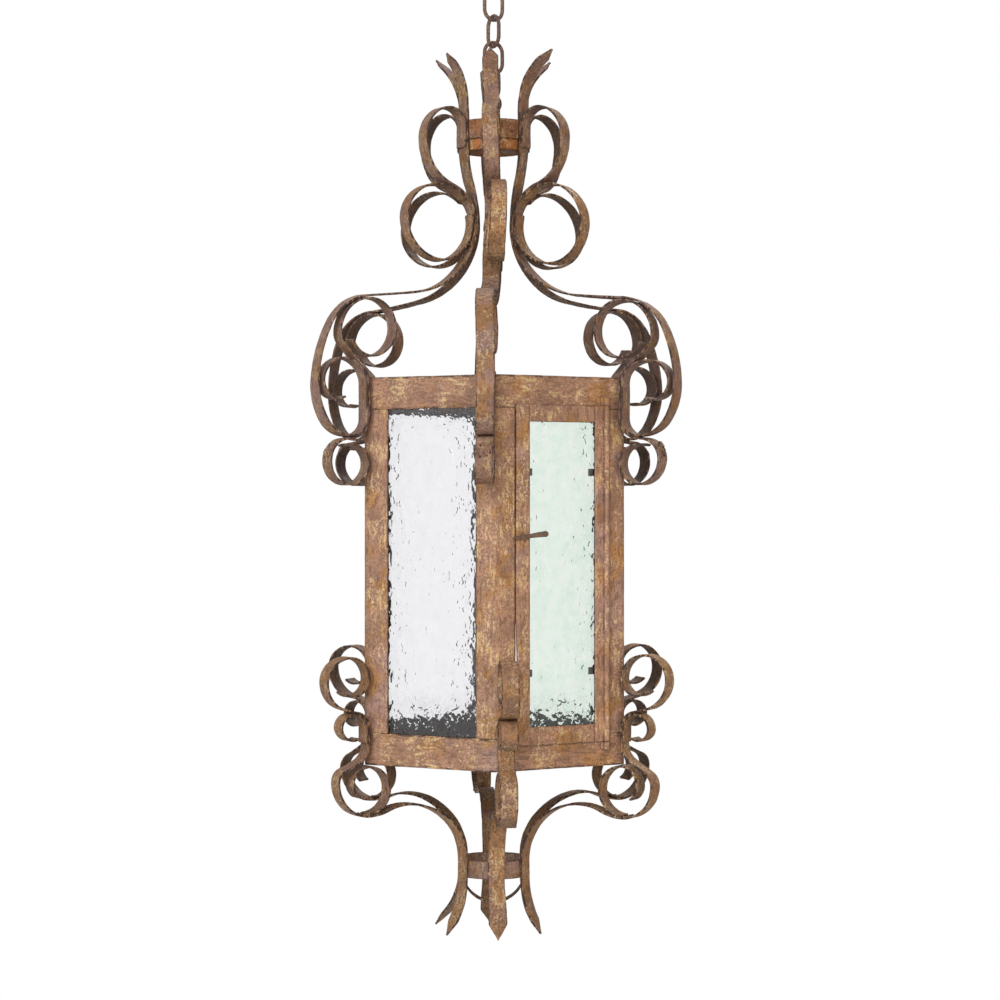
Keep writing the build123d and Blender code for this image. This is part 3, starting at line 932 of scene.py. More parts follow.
def forged(name, shape, finish, body, nodes, copies=1, warp=0.0, dent=None, scale=90.0, lean=(0.0, 0),
           splay=(0.0, 0)):
    """A piece of iron that stands for some nodes.

    Scale: how close its dents are. Lean and splay: how far its copies stand askew and its spikes spread,
    and the seed that chooses among them.
    """
    iron = settings("iron")
    piece = grown(name, shape.mesh(name), tree_of("Forging", forging_tree), {
        "Copies": copies,
        "Lean": lean[0],
        "Lean seed": lean[1],
        "Splay": splay[0],
        "Splay seed": splay[1],
        "Warp": warp,
        "Dent": iron.dent if dent is None else dent,
        "Dent scale": scale,
        "Seed": iron.seed,
        "Material": iron_material(finish),
    })
    stand_for(piece, body, nodes)


def worn_copy(node, body, finish, radius=0.00035):
    """A node's own shape with its edges worn round."""
    welded = 1e-6                   # points this close are one
    flat = radians(1.0)             # faces that turn less are one
    worn = radians(40)              # edges that turn more are worn
    sharp = radians(45)             # and stay sharp above this
    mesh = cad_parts[node].data.copy()
    form = bmesh.new()
    form.from_mesh(mesh)
    bmesh.ops.remove_doubles(form, verts=form.verts, dist=welded)
    bmesh.ops.dissolve_limit(form, angle_limit=flat, verts=form.verts, edges=form.edges)
    form.to_mesh(mesh)
    form.free()
    mesh.materials.clear()
    mesh.materials.append(iron_material(finish))
    piece = new_piece("worn_" + node, mesh)
    bevel = piece.modifiers.new("Worn edges", "BEVEL")
    bevel.width = radius
    bevel.segments = 2
    bevel.angle_limit = worn
    plain_mesh(piece)
    piece.data.shade_smooth()
    piece.data.set_sharp_from_angle(angle=sharp)
    stand_for(piece, body, [node])


# Materials


def rust_group():
    """Rust in patches and flecks, with black pits, worn edges, and soot with painted shade."""
    tree = bpy.data.node_groups.new("Rust", "ShaderNodeTree")
    for name in ("Brown", "Plum", "Orange", "Ochre", "Pale", "Black"):
        socket(tree, name, "Color")
    for name, value in (
        ("Plum share", 0.5), ("Orange share", 0.4), ("Flecks", 0.5), ("Streaks", 0.5), ("Edge wear", 0.6)
    ):
        socket(tree, name, "Float", value)
    socket(tree, "Stretch", "Vector", (1.0, 1.0, 0.28))
    socket(tree, "Color", "Color", way="OUTPUT")
    socket(tree, "Roughness", "Float", way="OUTPUT")
    socket(tree, "Height", "Float", way="OUTPUT")
    n = Nodes(tree)
    given = n.add("NodeGroupInput").outputs
    place = n.add("ShaderNodeTexCoord").outputs["Object"]
    drawn = n.vector("MULTIPLY", place, given["Stretch"])
    edge = n.add("ShaderNodeAttribute", attribute_name="edge").outputs["Fac"]
    # Soot together with painted shade, on inner faces and sheltered sides
    soot_and_shade = n.add("ShaderNodeAttribute", attribute_name="soot_and_shade").outputs["Fac"]
    # From large patches down to fine grain
    patches = n.noise(place, 13.0, 4.0, 0.6)
    tints = n.noise(place, 27.0, 5.0, 0.65)
    crowds = n.noise(place, 30.0, 4.0, 0.65)
    mottle = n.noise(place, 75.0, 4.0, 0.62)
    flakes = n.noise(drawn, 260.0, 3.0, 0.62)
    scabs = n.noise(n.vector("ADD", drawn, (0.37, 0.11, 0.73)), 300.0, 3.0, 0.62)
    crumbs = n.noise(place, 430.0, 1.5, 0.55)
    grain = n.noise(place, 900.0, 1.0, 0.5)

    def cover(noise, share):
        """A mask that covers about a share of the surface."""
        middle = n.math("MULTIPLY_ADD", share, -0.4, 0.7)
        return n.ramp(noise, n.math("SUBTRACT", middle, 0.06), n.math("ADD", middle, 0.06))

    def product(*masks):
        """Masks times each other."""
        result = masks[0]
        for mask in masks[1:]:
            result = n.math("MULTIPLY", result, mask)
        return result

    # Plum and orange patches, with darker clouds over them
    base = n.mix(cover(patches, given["Plum share"]), given["Brown"], given["Plum"])
    base = n.mix(cover(tints, given["Orange share"]), base, given["Orange"])
    dusk = n.mix(0.6, base, given["Black"])
    base = n.mix(n.ramp(n.noise(place, 19.0, 3.0, 0.6), 0.58, 0.36, 0.0, 0.4), base, dusk)
    base = n.mix(n.ramp(mottle, 0.56, 0.34, 0.0, 0.6), base, dusk)
    # Bright flakes and dark scabs
    bright = product(n.ramp(flakes, 0.52, 0.59), n.ramp(crowds, 0.44, 0.58), given["Streaks"])
    base = n.mix(bright, base, given["Ochre"])
    dark = product(n.ramp(scabs, 0.49, 0.4), n.ramp(crowds, 0.58, 0.44, 0.2, 1.0), given["Streaks"])
    base = n.mix(dark, base, dusk)
    # Pale flecks, dark specks and black pits
    lit = product(n.ramp(crumbs, 0.55, 0.66), n.ramp(crowds, 0.44, 0.58, 0.1, 1.0), given["Flecks"])
    base = n.mix(lit, base, given["Pale"])
    specks = product(n.ramp(crumbs, 0.45, 0.34), given["Flecks"])
    base = n.mix(specks, base, dusk)
    pits = n.ramp(grain, 0.36, 0.26)
    base = n.mix(n.math("MULTIPLY", pits, 0.4), base, given["Black"])
    # Worn edges, and soot with painted shade on inner faces, axis-facing sides and the insides of curls
    near = n.math("MULTIPLY", edge, n.ramp(scabs, 0.36, 0.62, 0.25, 1.2))
    base = n.mix(n.math("MULTIPLY", n.ramp(near, 0.45, 0.85), given["Edge wear"]), base, given["Black"])
    soot_and_shade_share = n.math("MULTIPLY", soot_and_shade, n.ramp(mottle, 0.3, 0.65, 1.0, 0.8))
    base = n.mix(soot_and_shade_share, base, given["Black"])
    # Shine and relief
    rough = n.ramp(mottle, 0.3, 0.7, 0.6, 0.9)
    bumps = n.math("ADD", n.math("MULTIPLY", crumbs, 0.6), n.math("MULTIPLY", flakes, 1.2))
    height = n.math("SUBTRACT", n.math("ADD", bumps, n.math("MULTIPLY", scabs, 0.8)), pits)
    n.add("NodeGroupOutput", {"Color": base, "Roughness": rough, "Height": height})
    return tree


# How much of each there is on a finish, in this order
IRON_MIX = ("Plum share", "Orange share", "Flecks", "Streaks", "Edge wear")
IRON_FINISHES = {
    "strap_iron": (0.5, 0.35, 0.6, 0.8, 0.95),
    "fresh_iron": (0.25, 0.62, 0.9, 1.0, 1.0),
    "sheet_iron": (0.3, 0.35, 0.6, 0.8, 0.8),
    "band_iron": (0.3, 0.35, 0.6, 0.8, 0.8),
    "collar_iron": (0.2, 0.8, 0.9, 1.0, 1.0),
    "ring_iron": (0.7, 0.3, 0.7, 0.9, 1.0),
    "cup_iron": (0.0, 1.0, 0.6, 1.0, 0.0),
    # The chain's pale flecks are partly real rust and partly painted highlights
    "chain_iron": (0.6, 0.3, 0.9, 0.9, 0.0),
    "latch_iron": (0.6, 0.3, 0.6, 0.8, 0.9),
    "dark_iron": (0.7, 0.2, 0.3, 0.3, 0.5),
}
# What a finish has of its own
IRON_OWN = {
    "fresh_iron": {"Orange": (0.36, 0.19, 0.085, 1.0)},
    "band_iron": {"Stretch": (0.28, 0.28, 1.0)},
    "collar_iron": {"Orange": (0.34, 0.145, 0.06, 1.0)},
    "cup_iron": {"Orange": (0.5, 0.19, 0.055, 1.0)},
}
# How far each finish is darkened
IRON_SHADE = {
    "strap_iron": 0.33,
    "fresh_iron": 0.29,
    "collar_iron": 0.3,
    "ring_iron": 0.35,
    # The chain is darkened partly as darker rust and partly as painted shade
    "chain_iron": 0.68,
    "latch_iron": 0.65,
    "dark_iron": 0.8,
}


def darker(color, share, black):
    """A colour part of the way to black, with full alpha."""
    return [c + (b - c) * share for c, b in zip(color, black)] + [1.0]


def bare_material(name):
    """A material with no nodes yet, and a way to add them."""
    material = bpy.data.materials.new(name)
    material.use_nodes = True
    material.node_tree.nodes.clear()
    return material, Nodes(material.node_tree)


def iron_material(finish):
    """Rusted iron with one of the finishes, made when it is first asked for."""
    name = "lantern_" + finish
    if name in bpy.data.materials:
        return bpy.data.materials[name]
    material, n = bare_material(name)
    rust = settings("rust")
    values = {}
    for key in ("brown", "plum", "orange", "ochre", "pale", "black"):
        values[key.capitalize()] = darker(getattr(rust, key), IRON_SHADE.get(finish, 0.0), rust.black)
    values.update(zip(IRON_MIX, IRON_FINISHES[finish]))
    values.update(IRON_OWN.get(finish, {}))
    group = n.add("ShaderNodeGroup", node_tree=tree_of("Rust", rust_group))
    for key, value in values.items():
        group.inputs[key].default_value = value
    bump = n.add(
        "ShaderNodeBump", {"Strength": 0.8, "Distance": 0.0007, "Height": group.outputs["Height"]}
    )
    surface = n.add("ShaderNodeBsdfPrincipled", {
        "Base Color": group.outputs["Color"],
        "Roughness": group.outputs["Roughness"],
        "Normal": bump.outputs["Normal"],
        "Metallic": 0.1,
        "Specular IOR Level": 0.3,
    })
    n.add("ShaderNodeOutputMaterial", {"Surface": surface.outputs[0]})
    return material


# Ripples of each glass. Coarse and fine: how close they are in the mesh and in the material. Stretch:
# below 1, they are drawn out upwards. Foot: how much deeper the fine ones are at the foot of a pane.
GLASS_RIPPLES = {
    "clear_glass": {"coarse": 115.0, "fine": 150.0, "stretch": 0.7, "foot": 1.8},
    "green_glass": {"coarse": 85.0, "fine": 130.0, "stretch": 0.8, "foot": 2.6},
}


def glass_material(kind, tint, shade):
    """Cast glass with fine ripples, clouds of a deeper shade, and grime along its foot and sides."""
    material, n = bare_material("lantern_" + kind)
    ripples = GLASS_RIPPLES[kind]
    fine = ripples["fine"]
    place = n.add("ShaderNodeTexCoord").outputs["Object"]
    drawn = n.vector("MULTIPLY", place, (1.0, 1.0, ripples["stretch"]))
    # Waves and seeds, deeper at the foot of a pane
    waves = n.noise(drawn, fine, 1.5, 0.45)
    seeds = n.ramp(n.noise(n.vector("ADD", drawn, (0.31, 0.77, 0.13)), fine * 1.1, 1.0), 0.64, 0.76)
    height = n.math("ADD", waves, n.math("MULTIPLY", seeds, 0.8))
    on_pane = n.add("ShaderNodeAttribute", attribute_name="pane").outputs["Vector"]
    spot = n.add("ShaderNodeSeparateXYZ", {"Vector": on_pane}).outputs
    deep = settings("glass").bump
    depth = n.math("MULTIPLY_ADD", n.ramp(spot["Y"], 0.13, 0.06), deep * ripples["foot"], deep)
    bump = n.add("ShaderNodeBump", {"Strength": 1.0, "Distance": depth, "Height": height})
    # Clouds and grime
    clouds = n.ramp(n.noise(drawn, fine * 0.6, 4.0, 0.6), 0.4, 0.66)
    color = n.mix(clouds, tuple(tint) + (1.0,), tuple(shade) + (1.0,))
    low = n.ramp(spot["Y"], 0.12, 0.0)
    side = n.ramp(n.math("ABSOLUTE", n.math("SUBTRACT", spot["X"], 0.5)), 0.4, 0.5)
    dusty = n.ramp(n.noise(drawn, fine * 1.4, 3.0, 0.6), 0.54, 0.68)
    grimy = n.math("MULTIPLY", n.math("MAXIMUM", low, n.math("MULTIPLY", side, 0.5)), dusty)
    grime = tuple(c * 0.3 for c in shade) + (1.0,)
    color = n.mix(n.math("MULTIPLY", grimy, 0.6), color, grime)
    surface = n.add("ShaderNodeBsdfPrincipled", {
        "Base Color": color,
        "Roughness": 0.01,
        "Transmission Weight": 1.0,
        "IOR": 1.5,
        "Normal": bump.outputs["Normal"],
    })
    n.add("ShaderNodeOutputMaterial", {"Surface": surface.outputs[0]})
    return material


# Straps at the corners

OUT, ASIDE = facing(FRONT)
UPPER_LEAN = 179                    # seeds that choose how the straps of each corner lean
RING_LEAN = 391
LOWER_LEAN = 45
UPPER_SPLAY = 589                   # and how their spikes spread
LOWER_SPLAY = 3802
UPPER_PLUG = BODY_TOP - 0.0825      # heights of the patches of weld on the straps
LOWER_PLUG = BODY_LOW + 0.034


def six(name):
    """Names of the six nodes of a kind."""
    return [f"{name}_{number}" for number in range(1, SIDES + 1)]


def at_corner(out, aside, up):
    """A place at the front corner."""
    return np.array(OUT) * out + np.array(ASIDE) * aside + np.array(UP) * up


def strap_line(node):
    """The even middle line of the front corner's strap."""
    iron = settings("iron")
    return smooth(middle_line(node, FRONT, iron.strap_width), iron.spacing)


def spiked(node, point):
    """A strap's even line up to the point of its spike, and how its sweep narrows and spreads there."""
    iron = settings("iron")
    blunt = 0.06                    # the point's share of the strap's width
    own = 3                         # only points this many spike lengths from the end can narrow
    line = middle_line(node, FRONT, iron.strap_width)
    heights = triangles(node)[:, :, 2]
    end = heights.max() if point == "top" else heights.min()
    if abs(line[0][1] - end) < abs(line[-1][1] - end):
        line = line[::-1]
    ahead = line[-1] - line[-2]
    ahead /= np.linalg.norm(ahead)
    length = abs(end - line[-1][1]) / abs(ahead[1])
    even = smooth(np.vstack([line, line[-1] + ahead * length]), iron.spacing)
    left = np.linalg.norm(even - even[-1], axis=1)
    near_end = np.arange(len(even)) > len(even) - own * length / iron.spacing
    narrow = np.where(near_end, np.clip(left / length, blunt, 1.0), 1.0)
    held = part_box("collar_band")[1].z if point == "top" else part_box("lower_ring")[0].z
    tip = np.clip((even[:, 1] - held) / (end - held), 0, 1)
    return even, {"narrow": narrow, "tip": tip}


def corner_straps(name, node, nodes, seed, point=None, splay=(0.0, 0), lean=1.0, welded=(), plug=None,
                  finish="strap_iron"):
    """Six bent straps, read from the one at the front corner.

    Point: the end that is a spike, top or low. Lean: their share of the iron's lean. Welded: the straps
    that they are welded to. Plug: the height of a patch of weld on their outer face.
    """
    iron = settings("iron")
    worn_edge = 0.003
    if point:
        line, spike = spiked(node, point)
    else:
        line = strap_line(node)
        spike = {}
    profile = flat_bar(iron.strap_width, iron.strap_thick, iron.worn, iron.spacing)
    axes = (ORIGIN, OUT, ASIDE, UP)
    # Painted shade on the side that faces the axis and inside the curls
    shape = Shape().sweep(line, profile, axes, edge_band=worn_edge, soot_and_shade=shaded_sides(line),
                          loose=looseness(line), **spike)
    chance = np.random.default_rng(seed)
    for other in welded:
        edge_welds(shape, line, strap_line(other), chance)
    if plug:
        plug_weld(shape, line, plug, chance)
    forged(name, shape, finish, "lantern", nodes, copies=SIDES, warp=iron.warp,
           lean=(iron.lean * lean, seed), splay=splay)


def edge_welds(shape, line, other, chance):
    """Lumps along both edges of a strap where another one touches it."""
    pitch = 0.0026
    stray = 0.001
    inset = 0.0015
    smallest = 0.0013
    largest = 0.0024
    gaps = np.linalg.norm(line[:, None] - other[None], axis=2)
    here, there = np.unravel_index(np.argmin(gaps), gaps.shape)
    way = line[min(here + 1, len(line) - 1)] - line[max(here - 1, 0)]
    way /= np.linalg.norm(way)
    half = settings("iron").strap_width / 2
    loose = looseness(line)[here]
    for side in (-1, 1):
        for step in range(-2, 3):
            along = step * pitch + chance.uniform(-stray, stray)
            spot = (line[here] + other[there]) / 2 + way * along
            aside = side * (half - chance.uniform(0.0, inset))
            place = at_corner(spot[0], aside, spot[1])
            shape.lump(place, chance.uniform(smallest, largest), chance, loose)


def plug_weld(shape, line, height, chance):
    """A patch of lumps on a strap's outer face."""
    iron = settings("iron")
    lumps = 30
    half = 0.008
    smallest = 0.0014
    largest = 0.0025
    sunk = 0.6                      # share of its radius that a lump's middle is under the face
    loose = looseness(line)
    for _ in range(lumps):
        level = height + chance.uniform(-half, half)
        here = np.argmax(np.where(abs(line[:, 1] - level) < iron.spacing, line[:, 0], -1))
        radius = chance.uniform(smallest, largest)
        out = line[here, 0] + iron.strap_thick / 2 - radius * sunk
        place = at_corner(out, chance.uniform(-half, half), level)
        shape.lump(place, radius, chance, loose[here])


def shaded_sides(line):
    """How much painted shade the left side of each point gets, or its right side where the value is
    negative.

    Painted shade darkens the side that faces the axis and the inside of a curl, where less light falls.
    """
    inwards = 0.5
    curled = 0.45
    tight = 0.03                    # a curl of this radius is as dark as any
    darkest = 0.75
    ahead = np.gradient(line, axis=0)
    ahead /= np.linalg.norm(ahead, axis=1)[:, None]
    bend = np.cross(ahead, np.gradient(ahead, axis=0)) / np.linalg.norm(np.gradient(line, axis=0), axis=1)
    return np.clip(inwards * ahead[:, 1] + curled * np.clip(bend * tight, -1, 1), -darkest, darkest)


class LANTERN_OT_upper_bars(Operator):
    """Bars from the spikes over the shoulder to the spirals"""

    bl_idname = "lantern.upper_bars"
    bl_label = "Upper bars"

    def execute(self, context):
        corner_straps(
            "upper_bars", "upper_bar_1", six("upper_bar"), UPPER_LEAN, "top",
            splay=(settings("iron").upper_splay, UPPER_SPLAY),
            welded=("collar_scrolls", "neck_rings", "shoulder_scroll_1"),
        )
        return {"FINISHED"}


class LANTERN_OT_collar_scrolls(Operator):
    """Ears beside the collar"""

    bl_idname = "lantern.collar_scrolls"
    bl_label = "Collar scrolls"

    def execute(self, context):
        corner_straps("collar_ears", "collar_scrolls", ["collar_scrolls"], UPPER_LEAN)
        return {"FINISHED"}


class LANTERN_OT_neck_rings(Operator):
    """Rings round the neck"""

    bl_idname = "lantern.neck_rings"
    bl_label = "Neck rings"

    steady = 0.4                    # they lean less than the bars

    def execute(self, context):
        corner_straps("bent_neck_rings", "neck_rings", ["neck_rings"], RING_LEAN, lean=self.steady,
                      finish="fresh_iron")
        return {"FINISHED"}


class LANTERN_OT_shoulder_scrolls(Operator):
    """Scrolls on the body's upper corners"""

    bl_idname = "lantern.shoulder_scrolls"
    bl_label = "Shoulder scrolls"

    def execute(self, context):
        corner_straps("shoulder_scrolls", "shoulder_scroll_1", six("shoulder_scroll"), UPPER_LEAN,
                      plug=UPPER_PLUG)
        return {"FINISHED"}


class LANTERN_OT_lower_bars(Operator):
    """Bars from the lower curls to the lower spikes"""

    bl_idname = "lantern.lower_bars"
    bl_label = "Lower bars"

    def execute(self, context):
        corner_straps(
            "lower_bars", "lower_bar_1", six("lower_bar"), LOWER_LEAN, "low",
            splay=(settings("iron").lower_splay, LOWER_SPLAY),
            welded=("under_curls", "knuckle_curls"),
            plug=LOWER_PLUG,
            finish="fresh_iron",
        )
        return {"FINISHED"}


class LANTERN_OT_small_curls(Operator):
    """Curls under the body and in the bends of the lower bars"""

    bl_idname = "lantern.small_curls"
    bl_label = "Small curls"

    def execute(self, context):
        for name, node in (("curls_under_body", "under_curls"), ("curls_in_bends", "knuckle_curls")):
            corner_straps(name, node, [node], LOWER_LEAN, finish="fresh_iron")
        return {"FINISHED"}


# Chain


def oval(low, high, width):
    """A link's wire line: two half rounds and two straight sides."""
    half = width / 2
    points = []
    for middle, start in ((high - half, 0), (low + half, 180)):
        for turn in range(0, 181, 20):
            angle = radians(start + turn)
            points.append((half * cos(angle), middle + half * sin(angle)))
    return np.array(points)


def wire_loop(line, angle):
    """A closed loop of wire in the upright plane at an angle."""
    spacing = 0.0016
    out, aside = facing(angle)
    even = smooth(line, spacing, closed=True)
    return Shape().sweep(even, round_bar(settings("chain").wire), (ORIGIN, out, aside, UP), closed=True)


def loop_angle(node):
    """The way that a wire loop's plane faces, in degrees, from how far its points reach."""
    step = 10                       # degrees between the ways that are tried
    points = triangles(node).reshape(-1, 3)
    spans = [np.ptp(turned(points, -angle)[:, 0]) for angle in range(0, 180, step)]
    return float(step * int(np.argmax(spans)))


class LANTERN_OT_chain(Operator):
    """Hanging ring, chain links and the eye on the collar"""

    bl_idname = "lantern.chain"
    bl_label = "Chain"

    pits = 260.0                    # how close the wire's rust pits are

    def execute(self, context):
        chain = settings("chain")
        inset = chain.wire / 2
        links = [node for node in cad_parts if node.startswith("chain_link_")]
        for node in ["hanging_ring"] + links:
            angle = loop_angle(node)
            low, high = local_box(node, angle)
            shape = wire_loop(oval(low.z + inset, high.z - inset, high.x - low.x - chain.wire), angle)
            forged("rusty_" + node, shape, "chain_iron", node, [node], dent=chain.dent, scale=self.pits)
        self.eye(chain, inset)
        worn_copy("hanger_nut", "lantern", "chain_iron")
        return {"FINISHED"}

    def eye(self, chain, inset):
        """The eye is a wire loop on a round shank with a shoulder."""
        shank = 0.003
        neck = shank * 0.6
        shoulder = 0.007
        shoulder_side = 0.002
        shoulder_top = 0.0025
        chamfer = 0.0006
        cup_floor = 0.0021          # the cup's sheet and a hair of play
        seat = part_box("collar_cup")[0].z + cup_floor
        angle = loop_angle("hanger_eye")
        low, high = local_box("hanger_eye", angle)
        reach = high.x - inset
        shape = wire_loop(oval(high.z - inset - 2 * reach, high.z - inset, 2 * reach), angle)
        shape.lathe((
            (shank - chamfer, low.z),
            (shank, low.z + chamfer),
            (shank, seat),
            (shoulder, seat),
            (shoulder, seat + shoulder_side),
            (shoulder - chamfer, seat + shoulder_top),
            (shank, seat + shoulder_top),
            (shank, high.z - 2 * reach - inset),
            (neck, high.z - 2 * reach),
        ), steps=24)
        forged("rusty_eye", shape, "chain_iron", "lantern", ["hanger_eye"], dent=chain.dent,
               scale=self.pits)


# Collar and lower ring


def standing(low, high):
    """Axes for a strip that stands on edge between two heights."""
    return ((0, 0, (low + high) / 2), (1, 0, 0), UP, (0, 1, 0))


def hoop(node):
    """A round band of sheet, as wide as its node is high."""
    iron = settings("iron")
    low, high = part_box(node)
    radius = high.x - iron.sheet_thick / 2
    angles = np.arange(0, 360, 10) * pi / 180
    line = np.column_stack([np.cos(angles), np.sin(angles)]) * radius
    profile = flat_bar(high.z - low.z, iron.sheet_thick, iron.worn, iron.spacing)
    even = smooth(line, iron.spacing, closed=True)
    return Shape().sweep(even, profile, standing(low.z, high.z), closed=True)


class LANTERN_OT_collar(Operator):
    """Collar band, the cup in it and its rivets"""

    bl_idname = "lantern.collar"
    bl_label = "Collar"

    rivet_worn = 0.0006
    shallow = 0.5                   # share of the usual depth of dents

    def execute(self, context):
        forged("bent_collar", hoop("collar_band"), "collar_iron", "lantern", ["collar_band"],
               dent=settings("iron").dent * self.shallow)
        self.cup()
        worn_copy("collar_rivets", "lantern", "collar_iron", self.rivet_worn)
        return {"FINISHED"}

    def cup(self):
        """The cup is pressed from sheet, with round lips and a hole for the eye's shank."""
        low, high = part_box("collar_cup")
        wall = 0.002
        lip = 0.0007
        hole = 0.0032
        hole_top = 0.0034
        dent = 0.0003
        outer = high.x
        inner = outer - wall
        shape = Shape().lathe((
            (hole, low.z + wall),
            (hole, low.z),
            (outer - 2 * lip, low.z),
            (outer - lip * 0.5, low.z + lip * 0.5),
            (outer, low.z + 2 * lip),
            (outer, high.z - lip),
            (outer - lip, high.z),
            (inner + lip, high.z),
            (inner, high.z - lip),
            (inner, low.z + wall),
            (hole_top, low.z + wall),
        ), steps=72)
        forged("pressed_cup", shape, "cup_iron", "lantern", ["collar_cup"], dent=dent)


class LANTERN_OT_lower_ring(Operator):
    """Lower ring and the strap under it"""

    bl_idname = "lantern.lower_ring"
    bl_label = "Lower ring"

    strap_thick = 0.002
    strap_worn = 0.0006
    ring_shallow = 0.5              # shares of the usual depth of dents
    strap_shallow = 0.6

    def execute(self, context):
        iron = settings("iron")
        forged("bent_lower_ring", hoop("lower_ring"), "ring_iron", "lantern", ["lower_ring"],
               dent=iron.dent * self.ring_shallow)
        low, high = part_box("bottom_strap")
        width = high.y - low.y
        line = smooth(middle_line("bottom_strap", 0.0, width, whole=True), iron.spacing)
        profile = flat_bar(width, self.strap_thick, self.strap_worn, iron.spacing)
        shape = Shape().sweep(line, profile, (ORIGIN, (1, 0, 0), (0, 1, 0), UP))
        forged("bent_bottom_strap", shape, "strap_iron", "lantern", ["bottom_strap"],
               dent=iron.dent * self.strap_shallow)
        return {"FINISHED"}


# Body


def hexagon(radius, bend):
    """An even line round a hexagon, with its corners rounded off over a short length."""
    angles = np.radians(FRONT + np.arange(SIDES) * 360 / SIDES)
    corners = np.column_stack([np.cos(angles), np.sin(angles)]) * radius
    return smooth(rounded(corners, bend, closed=True), settings("iron").spacing, closed=True)


def sheet_r():
    """How far the middle of the body's sheet is from the axis, at a corner."""
    return CORNER_R - settings("iron").sheet_thick / 2 / FLATTER


class LANTERN_OT_body(Operator):
    """Bands round the body and the posts between them"""

    bl_idname = "lantern.body"
    bl_label = "Body"

    bend = 0.003                    # sheet is bent over this length at the corners
    lap = 0.0018                    # posts reach this far behind the door's edge
    spare = 0.0045                  # how much wider one wing is
    ledge = 0.012                   # how far the bottom band is turned in
    ledge_bend = 0.002
    worn_band = 0.006               # how wide the worn edges of bands and posts are
    worn_wing = 0.003
    band_dents = 40.0               # how close the dents of bands and posts are
    post_dents = 45.0
    shallow = 0.8                   # share of the usual depth of dents on the posts
    longer = 1.4                    # faces up the posts are this many times as long as others

    def execute(self, context):
        iron = settings("iron")
        top = self.band(BAND_LOW, BODY_TOP)
        forged("bent_top_band", top, "band_iron", "lantern", ["top_band"], scale=self.band_dents)
        bottom = self.band(BODY_LOW, BAND_HIGH)
        line = hexagon(sheet_r() - self.ledge / 2 / FLATTER, self.ledge_bend)
        rim = flat_bar(self.ledge, iron.sheet_thick, iron.worn, iron.spacing)[:, ::-1]
        bottom.sweep(line, rim, standing(BODY_LOW, BODY_LOW + iron.sheet_thick), closed=True)
        forged("bent_bottom_band", bottom, "band_iron", "lantern", ["bottom_band"], scale=self.band_dents)
        posts = six("corner_post")
        self.posts("bent_corner_posts", posts[:-1], FRONT, 0.0)
        self.posts("bent_wide_post", posts[-1:], FRONT - 360 / SIDES, self.spare)
        return {"FINISHED"}

    def band(self, low, high):
        """A six-sided band with soot and painted shade inside. Both bands are as wide as the top one."""
        iron = settings("iron")
        profile = flat_bar(BODY_TOP - BAND_LOW, iron.sheet_thick, iron.worn, iron.spacing)
        return Shape().sweep(hexagon(sheet_r(), self.bend), profile, standing(low, high), closed=True,
                             edge_band=self.worn_band, soot_and_shade=1)

    def posts(self, name, nodes, angle, spare):
        """Angle irons from one corner onwards. Spare: how much wider the next wing round is."""
        iron = settings("iron")
        low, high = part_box("corner_post_1")
        inset = iron.sheet_thick / 4        # across, from the outer face's edge to the sheet's middle
        wing = (high.x - low.x) / 2 + self.lap - inset
        middle = np.array((sheet_r(), 0.0))
        ends = []
        for side, length in ((-1, wing), (1, wing + spare)):
            ends.append(middle + np.array((-length * np.tan(pi / SIDES), side * length)))
        line = smooth(rounded((ends[0], middle, ends[1]), self.bend), iron.spacing)
        profile = flat_bar(high.z - low.z, iron.sheet_thick, iron.worn, iron.spacing * self.longer)
        out, across = facing(angle)
        axes = ((0, 0, (low.z + high.z) / 2), out, UP, across)
        # The inner side is darkened with soot and painted shade
        shape = Shape().sweep(line, profile, axes, soot_and_shade=1)
        near_end = np.min([np.linalg.norm(line - end, axis=1) for end in ends], axis=0)
        shape.edge = [np.repeat(np.clip(1 - near_end / self.worn_wing, 0, 1), len(profile))]
        forged(name, shape, "sheet_iron", "lantern", nodes, copies=len(nodes),
               dent=iron.dent * self.shallow, scale=self.post_dents)


class LANTERN_OT_floor(Operator):
    """Floor plate, drip pan and candle cup"""

    bl_idname = "lantern.floor"
    bl_label = "Floor"

    worn = 0.0003

    def execute(self, context):
        for node in ("floor_plate", "drip_pan", "candle_cup"):
            worn_copy(node, "lantern", "dark_iron", self.worn)
        return {"FINISHED"}


# Glass

TAB_WORN = 0.0002


def panes(name, nodes, angle, body, kind, tint, shade):
    """Rippled panes of one glass for some nodes, from the side that faces an angle onwards."""
    glass = settings("glass")
    low, high = local_box(nodes[0], angle)
    size = high - low
    piece = grown(name, bpy.data.meshes.new(name), tree_of("Rippled panes", pane_tree), {
        "Size": size,
        "Middle": (low + high) / 2,
        "Across": round(size.y / glass.grid),
        "Up": round(size.z / glass.grid),
        "First": radians(angle),
        "Copies": len(nodes),
        "Ripple": glass.ripple,
        "Fine": GLASS_RIPPLES[kind]["coarse"],
        "Stretch": GLASS_RIPPLES[kind]["stretch"],
        "Material": glass_material(kind, tint, shade),
    })
    stand_for(piece, body, nodes)


class LANTERN_OT_panes(Operator):
    """Fixed panes and the tabs that hold them"""

    bl_idname = "lantern.panes"
    bl_label = "Fixed panes"

    def execute(self, context):
        glass = settings("glass")
        nodes = [f"pane_{number}" for number in range(1, SIDES)]
        panes("rippled_panes", nodes, DOOR + 360 / SIDES, "lantern", "clear_glass", glass.clear,
              glass.cloudy)
        worn_copy("pane_tabs", "lantern", "dark_iron", TAB_WORN)
        return {"FINISHED"}


class LANTERN_OT_door_glass(Operator):
    """The door's pane and the tabs that hold it"""

    bl_idname = "lantern.door_glass"
    bl_label = "Door glass"

    def execute(self, context):
        glass = settings("glass")
        panes("rippled_door_pane", ["door_pane"], DOOR, "door", "green_glass", glass.green,
              glass.deep_green)
        worn_copy("door_tabs", "door", "dark_iron", TAB_WORN)
        return {"FINISHED"}


# Door


